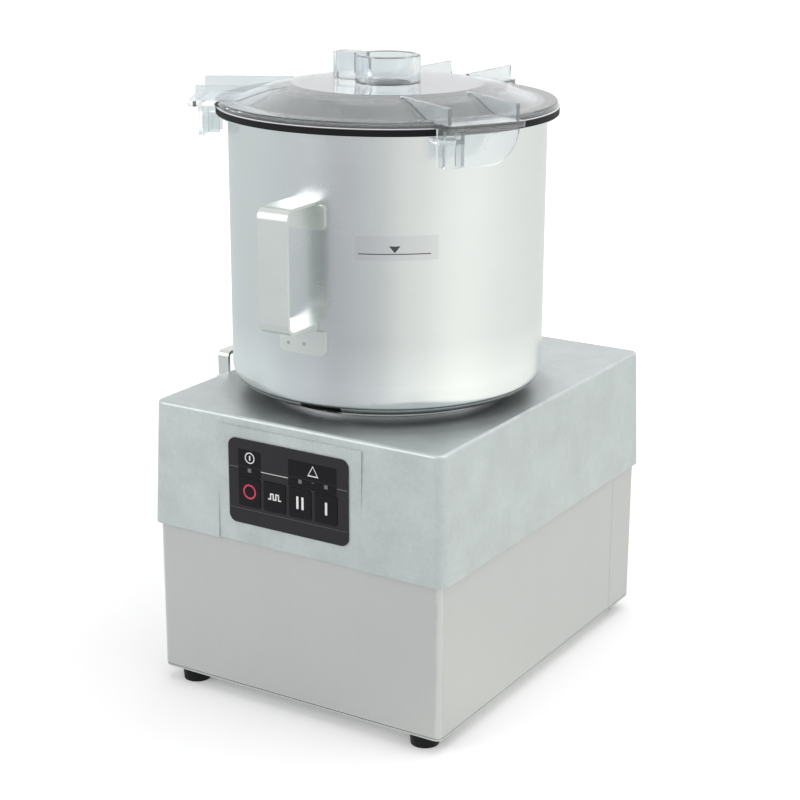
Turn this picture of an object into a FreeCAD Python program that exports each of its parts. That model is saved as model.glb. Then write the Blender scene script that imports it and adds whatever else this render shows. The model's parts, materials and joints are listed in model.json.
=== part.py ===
import FreeCAD, Part
import math
import os

# Bowl cutter in millimetres, +Z up. The origin is on the table, under the middle of the machine,
# with the control panel facing -Y. Angles around the bowl start at -Y and grow towards +X.

Vec = FreeCAD.Vector
UP = Vec(0, 0, 1)

# Stand and casing
foot_height = 12.5
foot_top_r = 12.8
foot_base_r = 11.8
foot_inset_x = 23.4        # foot centre from the casing's side
foot_inset_y = 16.4        # foot centre from the casing's front or rear
casing_height = 133.5      # visible height of the sheet casing, up to the hood
casing_inset = 3.6         # casing behind the hood's lower edge
casing_corner_r = 6.0
sheet = 1.2
base_sheet = 1.5
base_flange = 12.0         # height of the base tray's turned-up edge
shadow_gap = 0.8           # dark line between the base tray and the casing
seam_inset = 45.4          # upright seam of the rear cover ahead of the casing's rear
seam_gap = 0.4
joggle = 10.0              # half width of the strip behind that seam
bolt_neck = 6.0            # square neck of a foot's bolt
bolt_nut = 6.0             # half width of its nut
bolt_nut_height = 4.0
hole_play = 0.2            # holes are this much larger all round than what goes through

# Hood
hood_width = 286.0
hood_depth = 364.0
hood_height = 108.0
hood_corner_r = 8.0
hood_edge_r = 3.0
hood_draft = 3.4           # each side leans in by this much over the hood's height
hood_wall = 5.0
hood_roof = 6.0
hood_overlap = 24.0        # the casing goes this far up inside the hood
casing_gap = 0.4
pad_setback = 1.4          # upright field for the panel, behind the hood's lower edge
pad_width = 140.0
pad_top_margin = 8.0
board_post = 7.0
rib = 4.0                  # thickness of the ribs under the roof
rib_height = 8.0
rib_spacing = 105.0        # cross ribs before and behind the bowl's axis
gusset_reach = 30.0
gusset_height = 22.0

# Control panel, keys and lamps
panel_x = -3.3
panel_rise = 54.0          # middle of the panel above the hood's lower edge
panel_width = 117.0
panel_height = 73.0
panel_corner_r = 7.0
panel_thickness = 1.2
key_pitch = 25.0
key_drop = 8.0             # key row below the middle of the panel
key_width = 21.5
key_height = 25.0
key_corner_r = 2.0
key_gap = 0.3
key_proud = 0.4
key_travel = 0.6
lamp_rise = 10.6
lamp_size = 3.4
lamp_gap = 0.05
window_margin = 9.0
board_setback = 5.6        # board behind the hood's front wall
board_thickness = 1.6
switch_size = 6.0
switch_height = 3.5
switch_gap = 0.2
key_stem = 4.8
plug_width = 40.0
plug_height = 8.0
plug_depth = 9.0

# Drive line, motor and bearings
axis_y = -35.0
shaft_r = 12.5
core_seat_r = 15.0
tail_r = 10.0
fan_seat_r = 9.0
drive_r = 10.5
drive_flat = 8.5           # half distance across the two driving flats
drive_length = 24.0
neck_rise = 6.0            # the shaft's thin neck begins this far above the hood
running_gap = 0.05
upper_bearing_r = 26.0
upper_bearing_w = 15.0
lower_bearing_r = 23.5
lower_bearing_w = 14.0
bearing_ring = 4.2         # radial thickness of a bearing's inner ring
bearing_gap = 0.3
shield_plate = 8.0
shield_wall = 6.0
shield_reach = 36.0        # from the shield's plate to the stator core
shaft_hole_gap = 3.0
boss_wall = 7.0
stator_r = 70.0
stator_bore_r = 42.0
stator_length = 92.0
slot_count = 8
slot_depth = 18.0
slot_width = 11.0
coil_height = 16.0
air_gap = 0.5
end_ring = 6.0
tie_bar = 6.0
tie_bar_head = 11.0
tie_bar_head_height = 4.0
tie_bar_margin = 7.0       # centre of a tie bar outside the stator core
fan_r = 58.0
fan_height = 16.0
fan_blades = 9
fan_gap = 8.0
fan_hub_r = 16.0
fan_sheet = 2.0
seal_r = 28.0

# Seat for the bowl on top of the hood
seat_rise = 8.2
seat_plate = 2.5
seat_r = 90.0
seat_ridge = 18.0
seat_flange_r = 102.0
seat_bore_r = 36.0
pin_ring_r = 97.0
pin_r = 2.6
pin_slot_gap = 0.5
notch_azimuth = 1.3
notch_half_angle = 10.5

# Bowl
bowl_r = 131.8
bowl_wall = 1.5
bowl_height = 226.0
bowl_corner_r = 14.0
bowl_inner_bevel = 9.0
rim_width = 8.2
foot_ring_r = 107.7
foot_ring_wall = 2.5
foot_ring_drop = 3.4       # foot ring below the seat's top
foot_flange = 1.8
foot_flange_width = 36.0
tube_r = 19.0
tube_wall = 3.0
tube_height = 80.0
tube_flange_r = 26.0
tube_flange = 3.0

# Bowl handle
handle_azimuth = 1.5
handle_width = 27.0
handle_strip = 2.5
handle_reach = 41.2        # front of the grip from the bowl's wall
handle_bottom = 73.0       # underside of the lower leg above the bowl's underside
handle_height = 99.5
handle_bend_r = 9.0
plate_width = 43.0
plate_height = 19.5
plate_corner_r = 4.0

# Cutter
hub_r = 26.0
tube_clearance = 1.0
hub_flange_r = 34.0
hub_flange = 3.0
floor_clearance = 1.5
blade_thickness = 3.0
wall_clearance = 4.3       # upper blade tips from the bowl's wall
lower_tip_inset = 2.5      # lower blades are shorter by this much
blade_ring_r = 38.0
blade_root = 46.0          # width of an arm at the hub
blade_tip = 13.0
blade_bevel = 5.0
blade_sweep = 34.0         # degrees that the tip trails behind the root
blade_belly = 24.0         # bow of the leading edge
blade_hollow = 14.0        # bow of the trailing edge
blade_belly_at = 0.66      # places of those bows, as shares of the reach
blade_hollow_at = 0.55
upper_blade_lift = 9.0     # degrees
lower_blade_turn = 20.0    # degrees at rest
tooth_count = 5
toothed_share = 0.62       # share of the leading edge that has teeth
tooth_r = 3.4
spacer_height = 30.0
clamp_r = 31.0
clamp_height = 72.0
knob_r = 33.0
knob_height = 30.0
knob_lobes = 6
flute_r = 9.0
flute_depth = 3.5
stud_height = 14.0
fit_gap = 0.1

# Gasket and lid
gasket_proud = 1.5         # gasket beyond the rim and the lid's flange
gasket_height = 6.0
lid_wall = 4.0
lid_flange = 4.5
crown_inset = 35.0         # crown's edge inside the shoulder
crown_rise = 12.5          # crown above the lid's flange
crown_edge = 10.0
shoulder_inset = 4.5
lip_gap = 1.8              # centring lip inside the bowl
lip_wall = 3.0
lip_depth = 12.0
feed_r = 27.0
feed_wall = 5.0
feed_height = 22.7
feed_ledge = 6.0           # height of the inner ledge above the crown
feed_ledge_width = 3.0
tab_reach = 49.0
tab_width = 18.0
tab_wall = 3.0
lug_azimuths = (60.0, 180.0, 300.0)
lug_half_width = 33.5
ledge_proud = 5.5          # ledge beyond the skirt
fin_offset = 30.0
fin_thickness = 3.2
fin_overlap = 9.0          # fins begin this far inside the crown's edge
fin_inset = 1.0            # fins end this far inside the skirt's face
skirt_gap = 14.0           # skirt's face beyond the gasket
skirt_wall = 3.5
skirt_drop = 28.5
skirt_arc_r = 29.5
rib_thickness = 3.0
pocket_width = 18.0
hook_height = 4.0
hook_gap = 0.3
rim_clearance = 1.5

# Lock lever on the hood's left side
lever_y = -68.5
lever_drop = 16.0          # pivot below the hood's top
lever_rise = 31.0          # thumb rest above the pivot
lever_width = 11.0
lever_strip = 3.0
lever_rest = 24.0
lever_bend_r = 5.0
lever_gap = 12.2           # inner edge of the strip beyond the bowl's wall, at least
lever_side_gap = 0.3       # the same edge beyond the bush's flange, at least
lever_pin_r = 5.0
lever_boss_r = 9.0
bush_wall = 3.0
bush_flange = 1.5
boss_pad = 1.6
hook_nose = 8.0
hook_thickness = 6.0
hook_rise = 23.0
hook_ring = 4.0            # ring of the hook round its shaft
hook_foot_gap = 0.6        # hook beside the bowl's foot ring
hook_play = 1.0            # room round the hook's swing

# Power side, inside the rear
power_board_width = 130.0
power_board_depth = 58.0
post_height = 14.0
power_board_x = -20.0
power_board_margin = 14.0  # board from the rear
board_leg = 6.0
contactor_width = 42.0
contactor_depth = 40.0
contactor_height = 38.0
contactor_step = 5.0       # head narrower than the body on each side
contactor_head = 12.0
terminal_x = 84.0
terminal_width = 44.0
terminal_depth = 18.0
terminal_height = 16.0
terminal_notch = 7.0
terminal_ways = 4
gland_x = 82.0
gland_z = 48.0
gland_r = 12.0
gland_bore_r = 4.5
gland_length = 29.9
gland_thread_r = 9.0
gland_flange = 5.0
gland_cap = 14.0
louvre_rows = 7
louvre_length = 62.0
louvre_width = 3.4
louvre_pitch = 11.0
louvre_gap = 16.0          # between the two columns
louvre_x = -12.0           # middle of the columns
louvre_drop = 14.0         # top row below the hood
vent_length = 70.0
vent_width = 4.0
vent_pitch = 14.0

# Heights, radii and places that follow from the sizes above
base_z = foot_height
casing_z = base_z + base_sheet + shadow_gap
hood_z = base_z + casing_height
hood_top = hood_z + hood_height
ledge_z = hood_z + hood_overlap
roof_z = hood_top - hood_roof
seat_top = hood_top + seat_rise
bowl_z = seat_top + foot_flange
bowl_floor = bowl_z + bowl_wall
bowl_top = bowl_z + bowl_height
lid_z = bowl_top + gasket_height
flange_top = lid_z + lid_flange
crown_z = flange_top + crown_rise
panel_z = hood_z + panel_rise
pad_y = -hood_depth / 2 + pad_setback
panel_y = pad_y - panel_thickness
board_y = -hood_depth / 2 + hood_draft + hood_wall + board_setback

rim_r = bowl_r + rim_width
gasket_r = rim_r + gasket_proud
lid_r = rim_r
lip_r = bowl_r - bowl_wall - lip_gap
shoulder_r = lip_r - shoulder_inset
crown_r = shoulder_r - crown_inset
skirt_r = gasket_r + skirt_gap
lug_ledge_reach = skirt_r + ledge_proud
fin_inner_r = crown_r - fin_overlap
fin_outer_r = skirt_r - fin_inset
blade_reach = bowl_r - bowl_wall - wall_clearance

casing_width = hood_width - 2 * casing_inset
casing_depth = hood_depth - 2 * casing_inset
seam_y = casing_depth / 2 - seam_inset
foot_places = [(sx * (casing_width / 2 - foot_inset_x), sy * (casing_depth / 2 - foot_inset_y))
               for sx in (-1, 1) for sy in (-1, 1)]


def rounded_wire(corners, place):
    """Closed outline through (u, v, size) corners: a positive size rounds, a negative one bevels."""
    count = len(corners)
    starts = []
    ends = []
    mids = []
    for i in range(count):
        u, v, radius = corners[i]
        here = Vec(u, v, 0)
        back = Vec(corners[i - 1][0], corners[i - 1][1], 0) - here
        ahead = Vec(corners[(i + 1) % count][0], corners[(i + 1) % count][1], 0) - here
        back.normalize()
        ahead.normalize()
        if radius <= 0:
            starts.append(here - back * radius)
            ends.append(here - ahead * radius)
            mids.append(None)
            continue
        half = back.getAngle(ahead) / 2
        inset = radius / math.tan(half)
        bisector = back + ahead
        bisector.normalize()
        starts.append(here + back * inset)
        ends.append(here + ahead * inset)
        mids.append(here + bisector * (radius / math.sin(half) - radius))
    edges = []
    for i in range(count):
        start = starts[i]
        previous = ends[i - 1]
        if (start - previous).Length > 1e-6:
            edges.append(Part.LineSegment(*[place(p.x, p.y) for p in (previous, start)]).toShape())
        if mids[i] is not None:
            arc = Part.Arc(*[place(p.x, p.y) for p in (start, mids[i], ends[i])])
            edges.append(arc.toShape())
        elif (ends[i] - start).Length > 1e-6:
            edges.append(Part.LineSegment(*[place(p.x, p.y) for p in (start, ends[i])]).toShape())
    return Part.Wire(edges)


def rectangle(width, depth, radius):
    """Corners of a centred rectangle with rounded corners."""
    x = width / 2
    y = depth / 2
    return [(-x, -y, radius), (x, -y, radius), (x, y, radius), (-x, y, radius)]


def hexagon(radius):
    """Corners of a hexagon, at a distance from its middle."""
    return [(radius * math.cos(math.radians(60 * k)), radius * math.sin(math.radians(60 * k)), 0)
            for k in range(6)]


def octagon(half):
    """Corners of an octagon, at half its width across the flats."""
    cut = half * math.tan(math.radians(22.5))
    return [(half, -cut, 0), (half, cut, 0), (cut, half, 0), (-cut, half, 0),
            (-half, cut, 0), (-half, -cut, 0), (-cut, -half, 0), (cut, -half, 0)]


def flat_wire(corners, z, x0=0.0, y0=0.0):
    return rounded_wire(corners, lambda u, v: Vec(x0 + u, y0 + v, z))


def prism(corners, z0, z1, x0=0.0, y0=0.0):
    """Upright block of a plan outline between two heights."""
    return Part.Face(flat_wire(corners, z0, x0, y0)).extrude(Vec(0, 0, z1 - z0))


def facing(corners, y0, y1, x0=0.0, z0=0.0):
    """Block of a front-view outline between two depths."""
    wire = rounded_wire(corners, lambda u, v: Vec(x0 + u, y0, z0 + v))
    return Part.Face(wire).extrude(Vec(0, y1 - y0, 0))


def box(x0, x1, y0, y1, z0, z1):
    return Part.makeBox(x1 - x0, y1 - y0, z1 - z0, Vec(x0, y0, z0))


def post(radius, z0, z1, x=0.0, y=axis_y):
    return Part.makeCylinder(radius, z1 - z0, Vec(x, y, z0))


def ring(outer, inner, z0, z1, x=0.0, y=axis_y):
    return post(outer, z0, z1, x, y).cut(post(inner, z0 - 1, z1 + 1, x, y))


def rod_x(radius, x0, x1, y, z):
    return Part.makeCylinder(radius, x1 - x0, Vec(x0, y, z), Vec(1, 0, 0))


def rod_y(radius, y0, y1, x, z):
    return Part.makeCylinder(radius, y1 - y0, Vec(x, y0, z), Vec(0, 1, 0))


def turned(corners, x=0.0, y=axis_y):
    """Solid turned about an upright line from (radius, height, corner size) points."""
    wire = rounded_wire(corners, lambda u, v: Vec(x + u, y, v))
    return Part.Face(wire).revolve(Vec(x, y, 0), UP, 360)


def about_axis(shape, degrees):
    """Copy turned about the bowl's axis."""
    copy = shape.copy()
    copy.rotate(Vec(0, axis_y, 0), UP, degrees)
    return copy


def joined(shapes):
    return shapes[0].fuse(shapes[1:]).removeSplitter()


def edges_at(shape, test):
    """Edges whose whole length passes the test on both ends and the middle."""
    found = []
    for edge in shape.Edges:
        points = [v.Point for v in edge.Vertexes] + [edge.CenterOfMass]
        if all(test(p) for p in points):
            found.append(edge)
    return found


def save(name, shape):
    solids = shape.Solids
    shape = solids[0] if len(solids) == 1 else Part.makeCompound(solids)
    shape.exportStep("parts/" + name + ".step")


def hood_half_width(z):
    """Half the hood's outside width at a height, with its draft."""
    return hood_width / 2 - hood_draft * (z - hood_z) / hood_height


lever_z = hood_top - lever_drop
lever_face_x = -hood_half_width(lever_z) - boss_pad
lever_stand = max(bowl_r + lever_gap, bush_flange + lever_side_gap - lever_face_x)
bush_r = lever_pin_r + bush_wall
hook_x = -math.sqrt(foot_ring_r ** 2 - (lever_y + hook_nose / 2 - axis_y) ** 2) - hook_foot_gap
motor_ring_r = stator_r + tie_bar_margin
stator_top = roof_z - shield_plate - shield_reach
stator_bottom = stator_top - stator_length
lower_plate_z = stator_bottom - shield_reach - shield_plate


def make_hood():
    """Cast cover: drafted walls, ledge for the casing, field for the panel, holes and bosses."""
    low = flat_wire(rectangle(hood_width, hood_depth, hood_corner_r), hood_z)
    lean = 2 * hood_draft
    high = flat_wire(rectangle(hood_width - lean, hood_depth - lean, hood_corner_r), hood_top)
    body = Part.makeLoft([low, high], True, True)
    body = body.makeFillet(hood_edge_r, edges_at(body, lambda p: abs(p.z - hood_top) < 0.01))
    field = box(panel_x - pad_width / 2, panel_x + pad_width / 2, pad_y, pad_y + 2 * hood_wall,
                hood_z, hood_top - pad_top_margin)
    ahead = box(panel_x - pad_width / 2, panel_x + pad_width / 2, pad_y - hood_wall, pad_y,
                hood_z - 1, hood_top - pad_top_margin)
    body = body.fuse(field).cut(ahead)
    pad = rod_x(bush_r + 4, lever_face_x, -hood_width / 2 + 2 * hood_wall, lever_y, lever_z)
    body = body.fuse(pad)
    rebate = prism(rectangle(casing_width + 2 * casing_gap, casing_depth + 2 * casing_gap,
                             casing_corner_r + casing_gap), hood_z - 1, ledge_z)
    inner = prism(rectangle(hood_width - lean - 2 * hood_wall, hood_depth - lean - 2 * hood_wall,
                            hood_corner_r), ledge_z - 1, roof_z)
    body = body.cut([rebate, inner])
    posts = []
    for sx in (-1, 1):
        for sz in (-1, 1):
            x = panel_x + sx * (panel_width / 2 - 5)
            z = panel_z + sz * (panel_height / 2 - 5)
            posts.append(facing(rectangle(board_post, board_post, 0), pad_y + hood_wall, board_y, x, z))
    ribs = []
    inside = hood_width / 2 - hood_draft - hood_wall
    for y in (axis_y - rib_spacing, axis_y + rib_spacing):
        ribs.append(box(-inside, inside, y - rib / 2, y + rib / 2, roof_z - rib_height, roof_z))
        gusset = box(inside - gusset_reach, inside, y - rib / 2, y + rib / 2, roof_z - gusset_height, roof_z)
        ribs += [gusset, gusset.mirror(Vec(0, 0, 0), Vec(1, 0, 0))]
    body = body.fuse(posts + ribs)
    window = facing(rectangle(panel_width - 2 * window_margin, panel_height - 2 * window_margin, 0),
                    pad_y - 1, pad_y + 3 * hood_wall, panel_x, panel_z)
    holes = [window, post(seal_r, roof_z - 1, hood_top + 1),
             rod_x(bush_r, lever_face_x - 1, -hood_width / 2 + 3 * hood_wall, lever_y, lever_z)]
    sweep = math.sqrt(hook_rise ** 2 - lever_drop ** 2)
    disc_r = lever_pin_r + hook_ring + hook_play
    near = hook_x - hook_thickness - hook_play
    holes.append(box(near, hook_x + hook_play, lever_y - sweep - hook_nose,
                     lever_y + hook_nose / 2 + hook_play, lever_z, hood_top + 1))
    holes.append(rod_x(disc_r, near, hook_x + hook_play, lever_y, lever_z))
    return body.cut(holes).removeSplitter()


def casing_tube():
    """Whole sheet tube of the casing before it is split at the seam."""
    outer = prism(rectangle(casing_width, casing_depth, casing_corner_r), casing_z, ledge_z)
    inner = prism(rectangle(casing_width - 2 * sheet, casing_depth - 2 * sheet,
                            casing_corner_r - sheet), casing_z - 1, ledge_z + 1)
    return outer.cut(inner)


def make_body_shell():
    """Front and both sides in one folded sheet, with a strip behind each upright seam."""
    far = casing_depth
    shell = casing_tube().cut(box(-far, far, seam_y, far, 0, hood_top))
    pieces = [shell]
    for side in (-1, 1):
        x = side * (casing_width / 2 - sheet)
        pieces.append(box(min(x, x - side * sheet), max(x, x - side * sheet),
                          seam_y - joggle, seam_y + joggle, casing_z + base_flange + 4, ledge_z - 2))
    return joined(pieces)


def make_rear_cover():
    """Rear sheet that wraps both rear corners, with two columns of vent slots and the cable hole."""
    far = casing_depth
    cover = casing_tube().cut(box(-far, far, -far, seam_y + seam_gap, 0, hood_top))
    rear = casing_depth / 2
    cuts = [rod_y(gland_thread_r + fit_gap, rear - 5, rear + 5, gland_x, gland_z)]
    for column in (-1, 1):
        for row in range(louvre_rows):
            x = louvre_x + column * (louvre_length + louvre_gap) / 2
            z = hood_z - louvre_drop - row * louvre_pitch
            cuts.append(facing(rectangle(louvre_length, louvre_width, 0), rear - 5, rear + 5, x, z))
    return cover.cut(cuts)



def make_base_plate():
    """Tray: flat sheet with a turned-up edge inside the casing and rows of vent slots."""
    rim = 0.4
    plate = prism(rectangle(casing_width - rim, casing_depth - rim, casing_corner_r), base_z,
                  base_z + base_sheet)
    inset = 2 * sheet + 0.2
    high = base_z + base_sheet + base_flange
    outer = prism(rectangle(casing_width - inset, casing_depth - inset, casing_corner_r - sheet),
                  base_z + 0.5, high)
    inner = prism(rectangle(casing_width - inset - 2 * base_sheet, casing_depth - inset - 2 * base_sheet,
                            casing_corner_r - sheet - base_sheet), base_z, high + 1)
    tray = plate.fuse(outer.cut(inner))
    cuts = []
    for row in range(5):
        for side in (-1, 1):
            cuts.append(prism(rectangle(vent_length, vent_width, 0), base_z - 1, base_z + 5,
                              side * vent_length * 0.6, axis_y + (row - 2) * vent_pitch))
    for x, y in foot_places:
        cuts.append(prism(rectangle(bolt_neck + 2 * hole_play, bolt_neck + 2 * hole_play, 0),
                          base_z - 1, base_z + 5, x, y))
    return tray.cut(cuts).removeSplitter()


def make_rubber_feet():
    """Tapered feet; each bolt is moulded in by its lower end."""
    return Part.makeCompound([
        Part.makeCone(foot_base_r, foot_top_r, foot_height, Vec(x, y, 0)) for x, y in foot_places])


def make_foot_screws():
    """Square-necked bolts of the feet, through the tray, with a hexagon nut above it."""
    bolts = []
    nut_z = base_z + base_sheet
    for x, y in foot_places:
        nut = prism(hexagon(bolt_nut), nut_z, nut_z + bolt_nut_height, x, y)
        neck = prism(rectangle(bolt_neck, bolt_neck, 0), base_z, nut_z, x, y)
        bolts.append(joined([nut, neck]))
    return Part.makeCompound(bolts)


def key_centres():
    return [panel_x + (i - 1.5) * key_pitch for i in range(4)]


def lamp_places():
    xs = key_centres()
    return [(xs[0], panel_z + lamp_rise), (xs[2], panel_z + lamp_rise), (xs[3], panel_z + lamp_rise)]


def make_control_panel():
    """Front plate with four key openings and three lamp windows."""
    plate = facing(rectangle(panel_width, panel_height, panel_corner_r), panel_y, pad_y, panel_x, panel_z)
    cuts = []
    for x in key_centres():
        cuts.append(facing(rectangle(key_width + 2 * key_gap, key_height + 2 * key_gap, key_corner_r),
                           panel_y - 1, pad_y + 1, x, panel_z - key_drop))
    for x, z in lamp_places():
        cuts.append(facing(rectangle(lamp_size, lamp_size, 0), panel_y - 1, pad_y + 1, x, z))
    return plate.cut(cuts)


def make_key(x):
    """Key cap with a stem that reaches back to its switch."""
    z = panel_z - key_drop
    cap = facing(rectangle(key_width, key_height, key_corner_r), panel_y - key_proud, pad_y + key_travel,
                 x, z)
    stem_end = board_y - switch_height - key_travel - switch_gap
    return joined([cap, facing(rectangle(key_stem, key_stem, 0), pad_y, stem_end, x, z)])


def make_status_lamps():
    """Small square lenses, flush with the panel and lit from the board."""
    lamps = []
    for x, z in lamp_places():
        across = lamp_size - 2 * lamp_gap
        lens = facing(rectangle(across, across, 0), panel_y, pad_y, x, z)
        pipe = facing(rectangle(across / 2, across / 2, 0), pad_y, board_y, x, z)
        lamps.append(joined([lens, pipe]))
    return Part.makeCompound(lamps)


def make_control_board():
    """Circuit board on the hood's posts, with a switch behind each key and a plug header."""
    back = board_y + board_thickness
    pieces = [facing(rectangle(panel_width, panel_height, 0), board_y, back, panel_x, panel_z)]
    for x in key_centres():
        pieces.append(facing(rectangle(switch_size, switch_size, 0), board_y - switch_height, board_y,
                             x, panel_z - key_drop))
    pieces.append(facing(rectangle(plug_width, plug_height, 0), back, back + plug_depth,
                         panel_x, panel_z - panel_height / 2 + plug_height))
    return joined(pieces)


def make_bowl_seat():
    """Turned ring on the hood: a flange and the ridge that carries the bowl."""
    flange = hood_top + seat_plate
    return turned([(seat_bore_r, hood_top, 0), (seat_flange_r, hood_top, 0), (seat_flange_r, flange, 0),
                   (seat_r, flange, 0), (seat_r, seat_top, 0), (seat_r - seat_ridge, seat_top, 0),
                   (seat_r - seat_ridge, flange, 0), (seat_bore_r, flange, 0)])


def make_locating_pins():
    """Three pins welded on the seat's flange, which key the bowl's foot."""
    low = hood_top + seat_plate
    top = bowl_z - 0.5
    pins = []
    for i in range(3):
        pin = turned([(0, low, 0), (pin_r, low, 0), (pin_r, top, -0.8), (0, top, 0)], 0, axis_y - pin_ring_r)
        pins.append(about_axis(pin, notch_azimuth + 120 * i))
    return Part.makeCompound(pins)


def make_shaft_seal():
    """Lip seal in the hood's roof."""
    lip = shaft_r + running_gap
    return turned([(lip, hood_top - 2.0, 0), (lip + 2.5, roof_z, 0), (seal_r, roof_z, 0),
                   (seal_r, hood_top + 1.0, 0), (lip + 4, hood_top + 1.0, 0)])


def make_shield(plate_low, plate_high, skirt_end, bearing_r, bearing_low, bearing_high, bore):
    """End shield: plate, skirt that meets the stator, bearing boss and four stiffening ribs."""
    plate = prism(octagon(motor_ring_r + tie_bar), plate_low, plate_high, 0, axis_y)
    low = min(plate_low, skirt_end)
    high = max(plate_high, skirt_end)
    skirt = ring(stator_r, stator_r - shield_wall, low, high)
    boss = post(bearing_r + boss_wall, min(plate_low, bearing_low), max(plate_high, bearing_high))
    pieces = [plate, skirt, boss]
    for k in range(4):
        web = box(bearing_r + boss_wall / 2, stator_r - shield_wall / 2, axis_y - rib / 2, axis_y + rib / 2,
                  min(plate_low, bearing_low), max(plate_high, bearing_high))
        pieces.append(about_axis(web, 90 * k))
    cuts = [post(bearing_r, bearing_low, bearing_high), post(bore, low - 1, high + 1)]
    cuts += tie_bars(tie_bar + 2 * fit_gap, plate_low - 1, plate_high + 1)
    return joined(pieces).cut(cuts)


def upper_bearing_z():
    return roof_z - shield_plate - upper_bearing_w


def lower_bearing_z():
    return lower_plate_z + shield_plate


def make_upper_shield():
    return make_shield(roof_z - shield_plate, roof_z, stator_top, upper_bearing_r,
                       upper_bearing_z(), roof_z - shield_plate, shaft_r + shaft_hole_gap)


def make_lower_shield():
    return make_shield(lower_plate_z, lower_plate_z + shield_plate, stator_bottom, lower_bearing_r,
                       lower_bearing_z(), lower_bearing_z() + lower_bearing_w, tail_r + shaft_hole_gap)


def tie_bars(across, low, high):
    """Four square posts between the ribs of the shields."""
    bar = prism(rectangle(across, across, 0), low, high, motor_ring_r, axis_y)
    return [about_axis(bar, 45 + 90 * k) for k in range(4)]


def make_tie_rods():
    """Square bars that clamp both shields on the core, with a forged head below."""
    heads = tie_bars(tie_bar_head, lower_plate_z - tie_bar_head_height, lower_plate_z)
    bars = tie_bars(tie_bar, lower_plate_z, roof_z - 1)
    return Part.makeCompound([joined([head, bar]) for head, bar in zip(heads, bars)])


def slot_boxes(width, depth, low, high):
    """Radial blocks for the stator's slots, opening into the bore."""
    blocks = []
    for k in range(slot_count):
        block = box(stator_bore_r - 1, stator_bore_r + depth, axis_y - width / 2, axis_y + width / 2,
                    low, high)
        blocks.append(about_axis(block, 360.0 * k / slot_count))
    return blocks


def make_stator_core():
    body = ring(stator_r, stator_bore_r, stator_bottom, stator_top)
    return body.cut(slot_boxes(slot_width, slot_depth, stator_bottom - 1, stator_top + 1))


def make_stator_windings():
    """End turns above and below the core, joined by a bar in each slot."""
    outer = stator_bore_r + slot_depth + 1
    inner = stator_bore_r + 2
    pieces = []
    for low in (stator_top, stator_bottom - coil_height):
        pieces.append(ring(outer, inner, low, low + coil_height))
    for k in range(slot_count):
        bar = box(inner + 1, stator_bore_r + slot_depth - 0.2, axis_y - slot_width / 2 + 0.2,
                  axis_y + slot_width / 2 - 0.2, stator_bottom - 1, stator_top + 1)
        pieces.append(about_axis(bar, 360.0 * k / slot_count))
    return joined(pieces)


def make_bearing_outer(radius, bore, low, width):
    """Outer ring of a sealed bearing with its shields, round the inner ring."""
    return ring(radius, bore + bearing_ring + bearing_gap, low, low + width)


def make_bearing_inner_rings():
    pieces = []
    for bore, low, width in ((shaft_r, upper_bearing_z(), upper_bearing_w),
                             (tail_r, lower_bearing_z(), lower_bearing_w)):
        pieces.append(ring(bore + bearing_ring, bore, low, low + width))
    return Part.makeCompound(pieces)


def make_drive_shaft():
    """Stepped shaft: fan seat, lower bearing, core, upper bearing, long neck and driving flats."""
    fan_low = lower_plate_z - fan_gap - fan_height
    neck = hood_top + neck_rise
    shoulder = lower_bearing_z() + lower_bearing_w
    drive_low = drive_shoulder_z()
    top = drive_low + drive_length
    fan_shoulder = lower_plate_z - fan_gap / 2
    body = turned([(0, fan_low, 0), (fan_seat_r, fan_low, 0), (fan_seat_r, fan_shoulder, 0),
                   (tail_r, fan_shoulder, 0), (tail_r, shoulder, 0), (core_seat_r, shoulder, 0),
                   (core_seat_r, upper_bearing_z(), 0), (shaft_r, upper_bearing_z(), 0),
                   (shaft_r, neck, 0), (drive_r, neck, 0), (drive_r, top, -1.0), (0, top, 0)])
    return body.cut(post(shaft_r, drive_low, top + 1).cut(driving_flats(0, drive_low, top + 1)))


def drive_shoulder_z():
    return bowl_floor + tube_height + tube_clearance


def driving_flats(gap, low, high):
    """Block between the two flats of the drive, with a gap round it."""
    half = drive_flat + gap
    return box(-shaft_r - 1, shaft_r + 1, axis_y - half, axis_y + half, low, high)


def make_rotor_core():
    """Rotor core with a cast end cap that rises to its short-circuit ring."""
    radius = stator_bore_r - air_gap
    return turned([(core_seat_r, stator_bottom, 0), (radius - end_ring, stator_bottom - end_ring, 0),
                   (radius, stator_bottom, 0), (radius, stator_top, 0),
                   (radius - end_ring, stator_top + end_ring, 0), (core_seat_r, stator_top, 0)])


def make_cooling_fan():
    """Radial fan under the motor."""
    top = lower_plate_z - fan_gap
    low = top - fan_height
    half = fan_sheet / 2
    pieces = [ring(fan_hub_r, fan_seat_r, low, top), ring(fan_r, fan_seat_r, top - fan_sheet, top)]
    for k in range(fan_blades):
        blade = box(fan_hub_r - 1, fan_r - fan_sheet, axis_y - half, axis_y + half, low, top)
        pieces.append(about_axis(blade, 360.0 * k / fan_blades))
    return joined(pieces)


def make_bowl_shell():
    """Spun bowl: flat floor, rounded corner, upright wall and a flat rim with three notches."""
    inner = bowl_r - bowl_wall
    body = turned([(tube_r + fit_gap, bowl_z, 0), (bowl_r, bowl_z, bowl_corner_r),
                   (bowl_r, bowl_top - bowl_wall, -1.0), (rim_r, bowl_top - bowl_wall, 0),
                   (rim_r, bowl_top, 0), (inner, bowl_top, -1.2),
                   (inner, bowl_floor, -bowl_inner_bevel), (tube_r + fit_gap, bowl_floor, 0)])
    cuts = []
    for azimuth in lug_azimuths:
        middle = azimuth + hook_middle_angle()
        half = hook_half_angle() + 0.9
        cuts.append(sector(rim_r + 5, bowl_r + 1.2, middle - half, middle + half,
                           bowl_top - 5, bowl_top + 5))
    return body.cut(cuts)


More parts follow.
